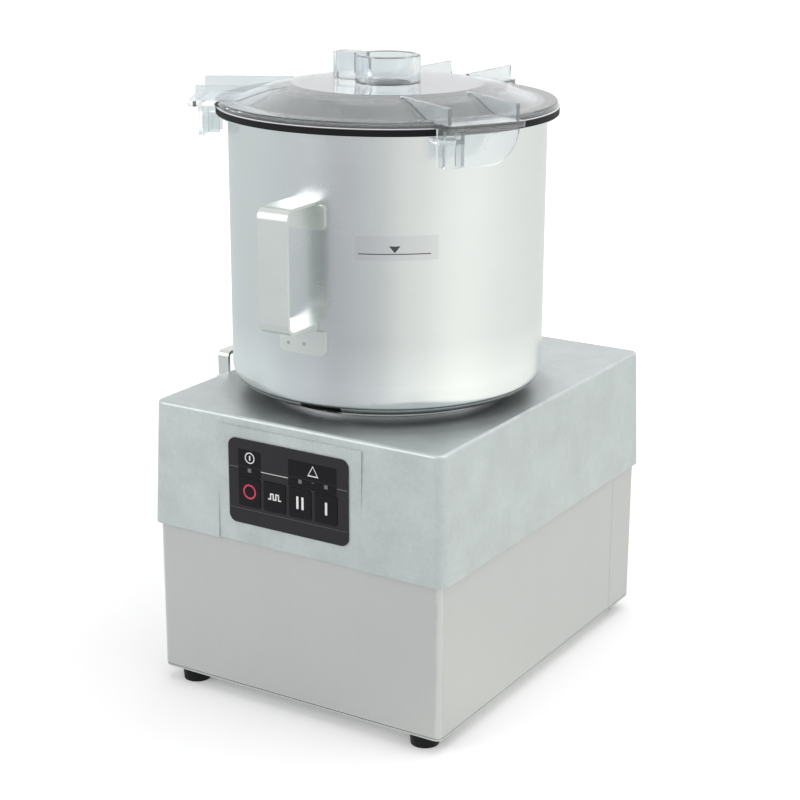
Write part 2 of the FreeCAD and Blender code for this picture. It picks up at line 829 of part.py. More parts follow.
def hook_middle_angle():
    """Angle from a lug's middle to the middle of its pocket."""
    return -math.degrees(math.asin((lug_half_width - pocket_width / 2) / (bowl_r + 5)))


def hook_half_angle():
    return math.degrees(math.asin(pocket_width / 2 / (bowl_r + 3)))


def sector(outer, inner, start, end, low, high):
    """Part of a ring between two azimuths, which are less than half a turn apart."""
    wedge = []
    far = outer * 3
    for angle in (start, end):
        wedge.append(Vec(far * math.sin(math.radians(angle)), axis_y - far * math.cos(math.radians(angle)),
                         low))
    centre = Vec(0, axis_y, low)
    face = Part.Face(Part.makePolygon([centre, wedge[0], wedge[1], centre]))
    return ring(outer, inner, low, high).common(face.extrude(Vec(0, 0, high - low)))


def make_bowl_foot_ring():
    """Foot under the bowl: notched skirt and a flange with slots for the pins."""
    low = seat_top - foot_ring_drop
    flange_r = foot_ring_r - foot_flange_width
    inner = foot_ring_r - foot_ring_wall
    body = turned([(flange_r, seat_top, 0), (inner, seat_top, 0), (inner, low, 0), (foot_ring_r, low, 0),
                   (foot_ring_r, bowl_z, 0), (flange_r, bowl_z, 0)])
    cuts = []
    for i in range(3):
        middle = notch_azimuth + 120 * i
        cuts.append(sector(foot_ring_r + 5, pin_ring_r + 5.5, middle - notch_half_angle,
                           middle + notch_half_angle, low - 1, bowl_z - 0.6))
        pin_hole = post(pin_r + pin_slot_gap, low, bowl_z + 1, 0, axis_y - pin_ring_r)
        cuts.append(about_axis(pin_hole, middle))
    return body.cut(cuts)


def make_bowl_tube():
    """Upright tube round the drive shaft, with its flange under the floor."""
    inner = tube_r - tube_wall
    top = bowl_floor + tube_height
    return turned([(inner, bowl_z - tube_flange, 0), (tube_flange_r, bowl_z - tube_flange, 0),
                   (tube_flange_r, bowl_z, 0), (tube_r, bowl_z, 0), (tube_r, top, 0), (inner, top, 0)])


def make_bowl_handle():
    """Bent strip: grip and two legs, each with a plate that follows the bowl's wall."""
    low = bowl_z + handle_bottom
    high = low + handle_height
    near = axis_y - bowl_r
    front = near - handle_reach
    half = handle_width / 2
    outer = box(-half, half, front, near + 4, low, high)
    bends = edges_at(outer, lambda p: abs(p.y - front) < 0.01 and min(p.z - low, high - p.z) < 0.01)
    outer = outer.makeFillet(handle_bend_r, bends)
    back = front + handle_strip
    under = low + handle_strip
    over = high - handle_strip
    void = box(-half - 1, half + 1, back, near + 6, under, over)
    bends = edges_at(void, lambda p: abs(p.y - back) < 0.01 and min(p.z - under, over - p.z) < 0.01)
    void = void.makeFillet(handle_bend_r - handle_strip, bends)
    pieces = [outer.cut(void)]
    band = ring(bowl_r + handle_strip, bowl_r - 1, low - 60, high + 10)
    for top, neck in ((high, 0.0), (low + handle_strip, 4.0)):
        plate_top = top - handle_strip - neck
        plate = facing([(-plate_width / 2, plate_top - plate_height, plate_corner_r),
                        (plate_width / 2, plate_top - plate_height, plate_corner_r),
                        (plate_width / 2, plate_top, plate_corner_r),
                        (-plate_width / 2, plate_top, plate_corner_r)], front, near + 20)
        strip = box(-half, half, front, near + 20, plate_top - plate_height / 2, top)
        pieces.append(band.common(plate.fuse(strip)))
    handle = joined(pieces).cut(post(bowl_r, low - 70, high + 20)).removeSplitter()
    return about_axis(handle, handle_azimuth)


def hub_low():
    return bowl_floor + floor_clearance


def lower_blade_z():
    return hub_low() + hub_flange


def upper_blade_z():
    return lower_blade_z() + blade_thickness + spacer_height


def clamp_z():
    return upper_blade_z() + blade_thickness


def make_blade_hub():
    """Sleeve over the bowl's tube, closed above it by the driving bore and a stud."""
    shoulder = drive_shoulder_z()
    top = clamp_z() + clamp_height
    inner = tube_r + tube_clearance
    body = turned([(inner, hub_low(), -0.8), (hub_flange_r, hub_low(), 0),
                   (hub_flange_r, hub_low() + hub_flange, 0), (hub_r, hub_low() + hub_flange, 0),
                   (hub_r, top, 0), (0, top, 0), (0, shoulder + 0.2, 0), (inner, shoulder + 0.2, 0)])
    bore = post(drive_r + running_gap, shoulder, shoulder + drive_length + 1)
    bore = bore.common(driving_flats(running_gap, shoulder, top))
    stud = post(hub_r / 2, top - 1, top + stud_height)
    return body.cut(bore).fuse(stud).removeSplitter()


def arm_outline(reach, bevel):
    """Sickle arm in plan: leading edge, tip and trailing edge; bevel draws the leading edge back."""
    root = math.sqrt(hub_r ** 2 - (blade_root / 2) ** 2)
    far = -math.radians(blade_sweep) - blade_tip / reach
    near = far + (blade_tip - bevel) / reach
    middle = (near + far) / 2
    lead = (root, blade_root / 2 - bevel / 2)
    trail = (root, -blade_root / 2)
    tip_lead, tip_mid, tip_trail = [(reach * math.cos(a), reach * math.sin(a)) for a in (near, middle, far)]
    lead_mid = (reach * blade_belly_at, (lead[1] + tip_lead[1]) / 2 + blade_belly - bevel)
    trail_mid = (reach * blade_hollow_at, (trail[1] + tip_trail[1]) / 2 + blade_hollow)
    return lead, lead_mid, tip_lead, tip_mid, tip_trail, trail_mid, trail


def arm_wire(reach, bevel, z):
    lead, lead_mid, tip_lead, tip_mid, tip_trail, trail_mid, trail = [
        Vec(x, axis_y + y, z) for x, y in arm_outline(reach, bevel)]
    return Part.Wire([Part.Arc(lead, lead_mid, tip_lead).toShape(),
                      Part.Arc(tip_lead, tip_mid, tip_trail).toShape(),
                      Part.Arc(tip_trail, trail_mid, trail).toShape(),
                      Part.LineSegment(trail, lead).toShape()])


def make_blades(low, reach, lift, turn):
    """Two opposite sickle arms on a clamping ring, ground to a bevel and toothed along the edge."""
    arm = Part.makeLoft([arm_wire(reach, 0.0, low), arm_wire(reach, blade_bevel, low + blade_thickness)],
                        True, True)
    edge = Part.Arc(*[Vec(x, axis_y + y, low) for x, y in arm_outline(reach, 0.0)[:3]])
    first, last = edge.FirstParameter, edge.LastParameter
    teeth = []
    for k in range(tooth_count):
        point = edge.value(first + (last - first) * (1 - toothed_share * (tooth_count - k) / tooth_count))
        teeth.append(Part.makeCylinder(tooth_r, blade_thickness + 2, point - Vec(0, 0, 1)))
    arm = arm.cut(teeth)
    arm.rotate(Vec(hub_flange_r, axis_y, low), Vec(0, 1, 0), -lift)
    arm = arm.cut(box(0, reach, axis_y - reach, axis_y + reach, low - reach, low))
    disc = post(blade_ring_r, low, low + blade_thickness)
    body = disc.fuse([arm, about_axis(arm, 180)])
    bore = post(hub_r + running_gap, low - reach, low + reach)
    return about_axis(body.cut(bore).removeSplitter(), turn)


def make_sleeve(radius, low, high):
    """Plain sleeve that slides over the blade hub."""
    return ring(radius, hub_r + running_gap, low, high)


def make_hub_knob():
    """Screw knob that clamps the blades, with finger lobes."""
    low = clamp_z() + clamp_height
    body = turned([(0, low, 0), (knob_r, low, 0), (knob_r, low + knob_height, -5.0),
                   (0, low + knob_height, 0)])
    cuts = [post(hub_r / 2 + running_gap, low - 1, low + stud_height + 1)]
    for k in range(knob_lobes):
        flute = post(flute_r, low - 1, low + knob_height + 1, knob_r + flute_r - flute_depth, axis_y)
        cuts.append(about_axis(flute, 360.0 * k / knob_lobes))
    return body.cut(cuts)


def make_lid_gasket():
    """Black ring between the rim and the lid."""
    inner = lip_r + 0.3
    return ring(gasket_r, inner, bowl_top, lid_z)


def make_lid():
    """Moulded clear lid: flat crown, sloping shoulder, flange, centring lip, feed tube and lugs."""
    feed_bore = feed_r - feed_wall - feed_ledge_width
    under = lid_wall
    dome = turned([(feed_bore, crown_z, 0), (crown_r, crown_z, -crown_edge), (shoulder_r, flange_top, 0),
                   (lid_r, flange_top, -1.0), (lid_r, lid_z, 0), (lip_r, lid_z, 0),
                   (lip_r, lid_z - lip_depth, 0), (lip_r - lip_wall, lid_z - lip_depth, 0),
                   (lip_r - lip_wall, flange_top - under, 0), (shoulder_r - 2, flange_top - under, 0),
                   (crown_r - 1, crown_z - under, 0), (feed_bore, crown_z - under, 0)])
    top = crown_z + feed_height
    tube = turned([(feed_bore, crown_z - under, 0), (feed_r, crown_z - under, 0), (feed_r, top, -1.0),
                   (feed_r - feed_wall, top, 0), (feed_r - feed_wall, crown_z + feed_ledge, 0),
                   (feed_bore, crown_z + feed_ledge, 0)])
    half = tab_width / 2
    tab = prism([(-tab_reach, -half, 3), (-feed_r + 4, -half, 0), (-feed_r + 4, half, 0),
                 (-tab_reach, half, 3)], crown_z - 1, top, 0, axis_y)
    hollow = prism([(-tab_reach + tab_wall, -half + tab_wall, 1.5), (-feed_r - 1, -half + tab_wall, 0),
                    (-feed_r - 1, half - tab_wall, 0), (-tab_reach + tab_wall, half - tab_wall, 1.5)],
                   crown_z + feed_ledge, top + 1, 0, axis_y)
    tab = tab.cut([hollow, post(feed_r - 2, crown_z - 5, top + 5)])
    lid = dome.fuse([tube, tab])
    lug = make_lug()
    lid = lid.fuse([about_axis(lug, azimuth) for azimuth in lug_azimuths])
    return lid.removeSplitter()


def make_lug():
    """One lug at azimuth zero: two fins, ledge, curved skirt, pocket ribs and the hook."""
    def at(u, v):
        return Vec(0, axis_y - u, v)

    pieces = []
    for side in (-1, 1):
        fin = rounded_wire([(fin_inner_r, crown_z - 1, 0), (shoulder_r - 6, flange_top - 1, 0),
                            (fin_outer_r, flange_top - 1, 0), (fin_outer_r, crown_z, 1.0),
                            (fin_inner_r, crown_z, 0)], at)
        plate = Part.Face(fin).extrude(Vec(fin_thickness, 0, 0))
        plate.translate(Vec(side * fin_offset - fin_thickness / 2, 0, 0))
        pieces.append(plate)
    far = lug_ledge_reach + 10
    ledge = prism([(-lug_half_width, -lug_ledge_reach, -1.5), (lug_half_width, -lug_ledge_reach, -1.5),
                   (lug_half_width, -shoulder_r, 0), (-lug_half_width, -shoulder_r, 0)],
                  lid_z, flange_top, 0, axis_y)
    pieces.append(ledge.cut(post(lid_r - 2, lid_z - 1, flange_top + 1)))
    bottom = lid_z - skirt_drop
    outline = facing([(-lug_half_width, bottom, 2), (lug_half_width, bottom, skirt_arc_r - 1),
                      (lug_half_width, lid_z + 1, 0), (-lug_half_width, lid_z + 1, 0)],
                     axis_y - far, axis_y - 100)
    pieces.append(ring(skirt_r, skirt_r - skirt_wall, bottom - 1, lid_z + 2).common(outline))
    inner = gasket_r + rim_clearance
    left = -lug_half_width
    for x in (left, left + pocket_width - rib_thickness):
        rib = box(x, x + rib_thickness, axis_y - skirt_r + 1, axis_y - inner + 2, bottom, lid_z + 1)
        pieces.append(rib.cut(post(inner, bottom - 1, lid_z + 2)).common(
            post(skirt_r, bottom - 1, lid_z + 2)))
    hook_top = bowl_top - bowl_wall - hook_gap
    hook = box(left, left + pocket_width, axis_y - skirt_r, axis_y - bowl_r + 10,
               hook_top - hook_height, hook_top)
    hook = hook.common(ring(skirt_r - 1, bowl_r + 2.2, hook_top - hook_height, hook_top))
    pieces.append(hook)
    return joined(pieces)


def make_lock_lever():
    """Strip with a turned-back thumb rest, welded to a round boss."""
    outer_x = -lever_stand - lever_width
    top = lever_z + lever_rise
    front = lever_y - lever_strip / 2
    strip = Part.Face(rounded_wire([(front, lever_z, 0), (front, top, lever_bend_r),
                                    (front + lever_rest, top, 0), (front + lever_rest, top - lever_strip, 0),
                                    (front + lever_strip, top - lever_strip, lever_bend_r - lever_strip),
                                    (front + lever_strip, lever_z, 0)],
                                   lambda u, v: Vec(outer_x, u, v))).extrude(Vec(lever_width, 0, 0))
    boss = rod_x(lever_boss_r, outer_x, lever_face_x - bush_flange - 0.3, lever_y, lever_z)
    return joined([strip, boss]).cut(rod_x(lever_pin_r, outer_x + 3, lever_face_x + 5, lever_y, lever_z))


def make_lever_shaft():
    outer_x = -lever_stand - lever_width + 3
    return rod_x(lever_pin_r, outer_x, hook_x, lever_y, lever_z)


def make_lever_bush():
    inner_x = min(-hood_half_width(lever_z) + hood_wall + bush_wall, hook_x - hook_thickness - hook_play)
    bush = rod_x(bush_r, lever_face_x, inner_x, lever_y, lever_z)
    flange = rod_x(bush_r + 2.5, lever_face_x - bush_flange, lever_face_x, lever_y, lever_z)
    bore = rod_x(lever_pin_r + running_gap, lever_face_x - 5, inner_x + 5, lever_y, lever_z)
    return joined([bush, flange]).cut(bore)


def make_lock_hook():
    """Arm on the lever's shaft whose nose comes up beside the bowl's foot ring."""
    near = hook_x - hook_thickness
    disc = rod_x(lever_pin_r + hook_ring, near, hook_x, lever_y, lever_z)
    nose = box(near, hook_x, lever_y - hook_nose / 2, lever_y + hook_nose / 2, lever_z, lever_z + hook_rise)
    nose = nose.makeFillet(2.0, edges_at(nose, lambda p: abs(p.z - lever_z - hook_rise) < 0.01
                                         and abs(abs(p.y - lever_y) - hook_nose / 2) < 0.01))
    return joined([disc, nose]).cut(rod_x(lever_pin_r, near - 1, hook_x + 1, lever_y, lever_z))


def make_lever_switch():
    """Small switch under the roof that feels the hook."""
    x = hook_x + 1.5
    body = box(x, x + 6.5, lever_y - 10, lever_y + 10, roof_z - 12, roof_z)
    button = rod_x(1.2, hook_x + 0.3, x + 1, lever_y - 4, roof_z - 9)
    return joined([body, button])


def power_board_y():
    return casing_depth / 2 - power_board_depth / 2 - power_board_margin


def make_power_board():
    """Board on four legs over the tray, behind the motor."""
    floor = base_z + base_sheet
    top = floor + post_height
    pieces = [prism(rectangle(power_board_width, power_board_depth, 0), top, top + board_thickness,
                    power_board_x, power_board_y())]
    for sx in (-1, 1):
        for sy in (-1, 1):
            x = power_board_x + sx * (power_board_width / 2 - board_leg)
            y = power_board_y() + sy * (power_board_depth / 2 - board_leg)
            pieces.append(prism(rectangle(board_leg, board_leg, 0), floor, top, x, y))
    return joined(pieces)


def make_contactors():
    """Two speed relays side by side on the board, each with a stepped head."""
    low = base_z + base_sheet + post_height + board_thickness
    step = low + contactor_height - contactor_head
    blocks = []
    for side in (-1, 1):
        x = power_board_x + side * (contactor_width / 2 + contactor_step)
        block = prism(rectangle(contactor_width, contactor_depth, 0), low, step, x, power_board_y())
        head = prism(rectangle(contactor_width - 2 * contactor_step, contactor_depth - 3 * contactor_step, 0),
                     step, low + contactor_height, x, power_board_y())
        blocks.append(joined([block, head]))
    return Part.makeCompound(blocks)


def make_terminal_block():
    """Row of mains clamps beside the board."""
    floor = base_z + base_sheet
    y = power_board_y()
    pitch = terminal_width / terminal_ways
    body = prism(rectangle(terminal_width, terminal_depth, 0), floor, floor + terminal_height, terminal_x, y)
    cuts = []
    for k in range(terminal_ways):
        x = terminal_x + (k - (terminal_ways - 1) / 2) * pitch
        cuts.append(prism(rectangle(terminal_notch, terminal_depth + 2, 0), floor + terminal_height / 2,
                          floor + terminal_height + 1, x, y))
    return body.cut(cuts)


def make_cable_gland():
    """Cable entry on the rear cover: threaded body, hexagon flange, hexagon cap and tapered end."""
    rear = casing_depth / 2
    cap_end = rear + gland_flange + gland_cap
    body = rod_y(gland_thread_r, rear - sheet - gland_flange, rear + gland_flange, gland_x, gland_z)
    flange = facing(hexagon(gland_r), rear, rear + gland_flange, gland_x, gland_z)
    cap = facing(hexagon(gland_r - 1), rear + gland_flange, cap_end, gland_x, gland_z)
    taper = Part.makeCone(gland_thread_r, gland_bore_r + 1, gland_length - gland_flange - gland_cap,
                          Vec(gland_x, cap_end, gland_z), Vec(0, 1, 0))
    bore = rod_y(gland_bore_r, rear - 20, rear + gland_length + 5, gland_x, gland_z)
    lock = facing(hexagon(gland_r), rear - sheet - gland_flange + 1, rear - sheet, gland_x, gland_z)
    return joined([body, flange, cap, taper, lock]).cut(bore)


def make_all():
    os.makedirs("parts", exist_ok=True)
    save("hood", make_hood())
    save("body_shell", make_body_shell())
    save("rear_cover", make_rear_cover())
    save("base_plate", make_base_plate())
    save("rubber_feet", make_rubber_feet())
    save("foot_screws", make_foot_screws())
    save("control_panel", make_control_panel())
    for name, x in zip(("key_stop", "key_pulse", "key_speed_two", "key_speed_one"), key_centres()):
        save(name, make_key(x))
    save("status_lamps", make_status_lamps())
    save("control_board", make_control_board())
    save("bowl_seat", make_bowl_seat())
    save("locating_pins", make_locating_pins())
    save("shaft_seal", make_shaft_seal())
    save("motor_upper_shield", make_upper_shield())
    save("motor_lower_shield", make_lower_shield())
    save("motor_tie_rods", make_tie_rods())
    save("stator_core", make_stator_core())
    save("stator_windings", make_stator_windings())
    save("upper_bearing", make_bearing_outer(upper_bearing_r, shaft_r, upper_bearing_z(), upper_bearing_w))
    save("lower_bearing", make_bearing_outer(lower_bearing_r, tail_r, lower_bearing_z(), lower_bearing_w))
    save("bearing_inner_rings", make_bearing_inner_rings())
    save("drive_shaft", make_drive_shaft())
    save("rotor_core", make_rotor_core())
    save("cooling_fan", make_cooling_fan())
    save("bowl_shell", make_bowl_shell())
    save("bowl_foot_ring", make_bowl_foot_ring())
    save("bowl_tube", make_bowl_tube())
    save("bowl_handle", make_bowl_handle())
    save("blade_hub", make_blade_hub())
    save("lower_blades", make_blades(lower_blade_z(), blade_reach - lower_tip_inset, 0, lower_blade_turn))
    save("upper_blades", make_blades(upper_blade_z(), blade_reach, upper_blade_lift, lower_blade_turn + 90))
    save("blade_spacer", make_sleeve(hub_flange_r, lower_blade_z() + blade_thickness, upper_blade_z()))
    save("clamp_sleeve", make_sleeve(clamp_r, clamp_z(), clamp_z() + clamp_height))
    save("hub_knob", make_hub_knob())
    save("lid_gasket", make_lid_gasket())
    save("lid_cover", make_lid())
    save("lock_lever", make_lock_lever())
    save("lever_shaft", make_lever_shaft())
    save("lever_bush", make_lever_bush())
    save("lock_hook", make_lock_hook())
    save("lever_switch", make_lever_switch())
    save("power_board", make_power_board())
    save("contactors", make_contactors())
    save("terminal_block", make_terminal_block())
    save("cable_gland", make_cable_gland())


make_all()
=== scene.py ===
"""Finishes, printed symbols and small fittings of the bowl cutter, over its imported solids."""
import json
import math

import bmesh
import bpy
import numpy as np
from mathutils import Matrix, Vector


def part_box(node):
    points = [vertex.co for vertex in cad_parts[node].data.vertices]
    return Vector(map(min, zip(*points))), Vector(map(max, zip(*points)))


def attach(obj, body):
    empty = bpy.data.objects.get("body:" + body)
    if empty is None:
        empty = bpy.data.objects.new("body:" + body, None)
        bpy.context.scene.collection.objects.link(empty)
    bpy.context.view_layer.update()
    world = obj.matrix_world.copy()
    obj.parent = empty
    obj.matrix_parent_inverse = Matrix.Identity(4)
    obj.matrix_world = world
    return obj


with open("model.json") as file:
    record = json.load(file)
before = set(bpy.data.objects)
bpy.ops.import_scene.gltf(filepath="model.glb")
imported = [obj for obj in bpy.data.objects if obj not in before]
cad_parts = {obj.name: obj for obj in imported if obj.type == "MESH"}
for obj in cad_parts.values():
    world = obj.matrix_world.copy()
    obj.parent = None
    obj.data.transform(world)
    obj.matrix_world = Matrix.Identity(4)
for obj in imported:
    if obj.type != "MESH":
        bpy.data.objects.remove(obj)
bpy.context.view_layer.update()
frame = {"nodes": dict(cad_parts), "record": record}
MM = 0.001
BOWL_Y = -35.0             # the bowl's axis, in mm
BOWL_R = 131.8             # the bowl's outer radius, in mm


# ---------------------------------------------------------------- camera, floor and light

def place_camera(azimuth=31.29, elevation=17.05, distance=1.63487, target=(0, 0, 0.23422),
                 roll=0.30, focal=1855.59, centre=(408.3, 395.57), frame_px=800):
    """Camera on a sphere round the target; focal length and centre in pixels of a square picture."""
    a, e = math.radians(azimuth), math.radians(elevation)
    back = Vector((math.sin(a) * math.cos(e), -math.cos(a) * math.cos(e), math.sin(e)))
    lens = bpy.data.cameras.new("photo_lens")
    lens.sensor_width = 36
    lens.lens = focal / frame_px * lens.sensor_width
    lens.shift_x = (frame_px / 2 - centre[0]) / frame_px
    lens.shift_y = (centre[1] - frame_px / 2) / frame_px
    lens.clip_end = 50
    camera = bpy.data.objects.new("photo_camera", lens)
    turn = back.to_track_quat("Z", "Y").to_matrix() @ Matrix.Rotation(math.radians(roll), 3, "Z")
    camera.matrix_world = Matrix.Translation(Vector(target) + back * distance) @ turn.to_4x4()
    bpy.context.scene.collection.objects.link(camera)
    bpy.context.scene.camera = camera


def soft_lamp(name, place, aim, size, watts):
    """Square soft box at a place, turned to a point."""
    data = bpy.data.lights.new(name, "AREA")
    data.shape = "RECTANGLE"
    data.size, data.size_y = size
    data.energy = watts
    lamp = bpy.data.objects.new(name, data)
    aimed = (Vector(place) - Vector(aim)).to_track_quat("Z", "Y").to_matrix().to_4x4()
    lamp.matrix_world = Matrix.Translation(Vector(place)) @ aimed
    bpy.context.scene.collection.objects.link(lamp)


def new_node(tree, kind, **settings):
    """Node of a kind, with its own settings."""
    node = tree.nodes.new(kind)
    for key, value in settings.items():
        setattr(node, key, value)
    return node


def reckon(tree, kind, a, b=0.0, c=None, clamp=False):
    """One arithmetic step on numbers or sockets."""
    node = new_node(tree, "ShaderNodeMath", operation=kind, use_clamp=clamp)
    for socket, value in zip(node.inputs, (a, b) if c is None else (a, b, c)):
        if isinstance(value, (int, float)):
            socket.default_value = value
        else:
            tree.links.new(value, socket)
    return node.outputs[0]


def stops_along(tree, value, stops, interpolation="LINEAR"):
    """Tone or colour that runs through listed (value, tone) stops; tones up to 1."""
    first, last = stops[0][0], stops[-1][0]
    share = reckon(tree, "MULTIPLY_ADD", value, 1 / (last - first), -first / (last - first), clamp=True)
    ramp = tree.nodes.new("ShaderNodeValToRGB")
    ramp.color_ramp.interpolation = interpolation
    while len(ramp.color_ramp.elements) < len(stops):
        ramp.color_ramp.elements.new(0.5)
    for element, (at, tone) in zip(ramp.color_ramp.elements, stops):
        element.position = (at - first) / (last - first)
        element.color = (*tone, 1) if isinstance(tone, tuple) else (tone, tone, tone, 1)
    tree.links.new(share, ramp.inputs[0])
    return ramp.outputs["Color"]


def around_axis(tree):
    """Radius from the bowl's axis, angle round it from the front (radians) and height, of a point."""
    coords = tree.nodes.new("ShaderNodeTexCoord")
    split = tree.nodes.new("ShaderNodeSeparateXYZ")
    tree.links.new(coords.outputs["Object"], split.inputs[0])
    aside = split.outputs["X"]
    ahead = reckon(tree, "MULTIPLY_ADD", split.outputs["Y"], -1.0, BOWL_Y * MM)
    radius = reckon(tree, "SQRT", reckon(tree, "MULTIPLY_ADD", aside, aside,
                                         reckon(tree, "MULTIPLY", ahead, ahead)))
    return radius, reckon(tree, "ARCTAN2", aside, ahead), split.outputs["Z"]


def ray_kinds(tree):
    """Sockets that are 1 for rays from the camera or through glass, and 1 for rays off gloss."""
    rays = tree.nodes.new("ShaderNodeLightPath")
    seen = reckon(tree, "MAXIMUM", rays.outputs["Is Camera Ray"], rays.outputs["Is Transmission Ray"])
    return seen, rays.outputs["Is Glossy Ray"]


def studio_world(seen=1.0, gloss=1.0, lit=0.58, overhead=0.5, gloss_overhead=0.85):
    """White surroundings for the camera and for gloss, softer as light, darker overhead.

    Z of the direction is the sine of its height, so the stops run from near level to straight up.
    """
    world = bpy.data.worlds.new("studio")
    world.use_nodes = True
    tree = world.node_tree
    sky = tree.nodes["Background"]
    sky.inputs["Color"].default_value = (1, 1, 1, 1)
    direct, shiny = ray_kinds(tree)
    coords = tree.nodes.new("ShaderNodeTexCoord")
    split = tree.nodes.new("ShaderNodeSeparateXYZ")
    tree.links.new(coords.outputs["Generated"], split.inputs[0])
    upward = split.outputs["Z"]
    above = stops_along(tree, upward, ((0.25, seen), (0.55, overhead), (0.9, overhead)))
    level = reckon(tree, "MULTIPLY_ADD", direct, reckon(tree, "SUBTRACT", above, lit), lit)
    mirrored = stops_along(tree, upward, ((0.3, gloss), (0.7, gloss_overhead), (0.9, gloss_overhead)))
    level = reckon(tree, "MULTIPLY_ADD", shiny, reckon(tree, "SUBTRACT", mirrored, lit), level)
    tree.links.new(level, sky.inputs["Strength"])
    bpy.context.scene.world = world


# what polished metal sees low around the bowl: compass angle from the front to the right, and colour
SURROUND = ((-180, (0.96, 0.98, 0.94)), (-114, (0.76, 0.80, 0.80)), (-71, (0.76, 0.81, 0.81)),
            (-30, (0.62, 0.65, 0.67)), (-3, (0.54, 0.55, 0.58)), (22, (0.66, 0.68, 0.69)),
            (45, (0.98, 1.00, 0.96)), (83, (1.26, 1.26, 1.19)), (126, (1.11, 1.11, 1.06)),
            (180, (0.96, 0.98, 0.94)))
TONE_TOP = 1.3


def surround_colour(tree):
    """Colour of the floor by its compass angle round the bowl's axis, over the brightest tone."""
    angle = around_axis(tree)[1]
    stops = [(math.radians(degrees), tuple(part / TONE_TOP for part in colour))
             for degrees, colour in SURROUND]
    return stops_along(tree, angle, stops, "EASE")


def pale_floor(half=7.0, lift=0.17, far_lift=0.60):
    """Wide level sheet: pale paint, lifted to white for the camera far off, and toned for gloss."""
    mesh = bpy.data.meshes.new("floor")
    corners = [(-half, -half, 0), (half, -half, 0), (half, half, 0), (-half, half, 0)]
    mesh.from_pydata(corners, [], [(0, 1, 2, 3)])
    floor = bpy.data.objects.new("floor", mesh)
    paint = bpy.data.materials.new("floor_paint")
    paint.use_nodes = True
    tree = paint.node_tree
    shader = tree.nodes["Principled BSDF"]
    shader.inputs["Base Color"].default_value = (0.93, 0.93, 0.93, 1)
    shader.inputs["Roughness"].default_value = 0.9
    shader.inputs["Specular IOR Level"].default_value = 0.0
    shader.inputs["Emission Color"].default_value = (1, 1, 1, 1)
    seen, shiny = ray_kinds(tree)
    radius = around_axis(tree)[0]
    raised = stops_along(tree, radius, ((0.5, lift), (1.6, far_lift), (3.0, far_lift)))
    tree.links.new(reckon(tree, "MULTIPLY", seen, raised), shader.inputs["Emission Strength"])
    toned = tree.nodes.new("ShaderNodeEmission")
    tree.links.new(surround_colour(tree), toned.inputs["Color"])
    toned.inputs["Strength"].default_value = TONE_TOP
    choose = tree.nodes.new("ShaderNodeMixShader")
    tree.links.new(shiny, choose.inputs[0])
    tree.links.new(shader.outputs[0], choose.inputs[1])
    tree.links.new(toned.outputs[0], choose.inputs[2])
    tree.links.new(choose.outputs[0], tree.nodes["Material Output"].inputs["Surface"])
    mesh.materials.append(paint)
    bpy.context.scene.collection.objects.link(floor)


place_camera()
studio_world()
pale_floor()
MIDDLE = (0, 0, 0.25)      # what the lamps are turned to
soft_lamp("top_box", (0.5, 0.5, 2.3), MIDDLE, (2.8, 2.8), 29)
soft_lamp("right_box", (2.1, 0.5, 1.2), MIDDLE, (1.2, 1.6), 6.5)
soft_lamp("front_box", (-1.2, -2.0, 1.3), MIDDLE, (1.6, 1.4), 17)
bpy.context.scene.view_settings.view_transform = "Standard"


# ---------------------------------------------------------------- shared effects

def effect(name, inputs, outputs):
    """New node group with named number inputs and outputs, and its input and output nodes."""
    group = bpy.data.node_groups.new(name, "ShaderNodeTree")
    for label, value in inputs:
        socket = group.interface.new_socket(label, in_out="INPUT", socket_type="NodeSocketFloat")
        socket.default_value = value
    for label in outputs:
        group.interface.new_socket(label, in_out="OUTPUT", socket_type="NodeSocketFloat")
    return group, group.nodes.new("NodeGroupInput"), group.nodes.new("NodeGroupOutput")


def object_place(tree, stretch=(1, 1, 1)):
    """Object coordinates, stretched along the axes."""
    coords = tree.nodes.new("ShaderNodeTexCoord")
    mapping = tree.nodes.new("ShaderNodeMapping")
    mapping.inputs["Scale"].default_value = stretch
    tree.links.new(coords.outputs["Object"], mapping.inputs["Vector"])
    return mapping.outputs["Vector"]


def noise(tree, vector, scale, detail=3.0, rough=0.55):
    """Soft noise; the scale is a number or a socket."""
    node = tree.nodes.new("ShaderNodeTexNoise")
    node.inputs["Detail"].default_value = detail
    node.inputs["Roughness"].default_value = rough
    tree.links.new(vector, node.inputs["Vector"])
    if isinstance(scale, (int, float)):
        node.inputs["Scale"].default_value = scale
    else:
        tree.links.new(scale, node.inputs["Scale"])
    return node.outputs["Fac"]


def texture_effect(name, stretch, fast_times, fast_share):
    """Slow clouds and fast grain stretched along the axes: tone = 1 + depth (mix - 0.5)."""
    tree, given, result = effect(name, [("Size", 90), ("Depth", 0.1)], ["Tone", "Height", "Cloud"])
    slow = noise(tree, object_place(tree), given.outputs["Size"])
    fast_size = reckon(tree, "MULTIPLY", given.outputs["Size"], fast_times)
    fast = noise(tree, object_place(tree, stretch), fast_size)
    mixed = reckon(tree, "ADD", reckon(tree, "MULTIPLY", slow, 1 - fast_share),
                   reckon(tree, "MULTIPLY", fast, fast_share))
    around = reckon(tree, "SUBTRACT", mixed, 0.5)
    tone = reckon(tree, "MULTIPLY_ADD", around, given.outputs["Depth"], 1.0)
    tree.links.new(tone, result.inputs["Tone"])
    tree.links.new(fast, result.inputs["Height"])
    tree.links.new(slow, result.inputs["Cloud"])
    return tree


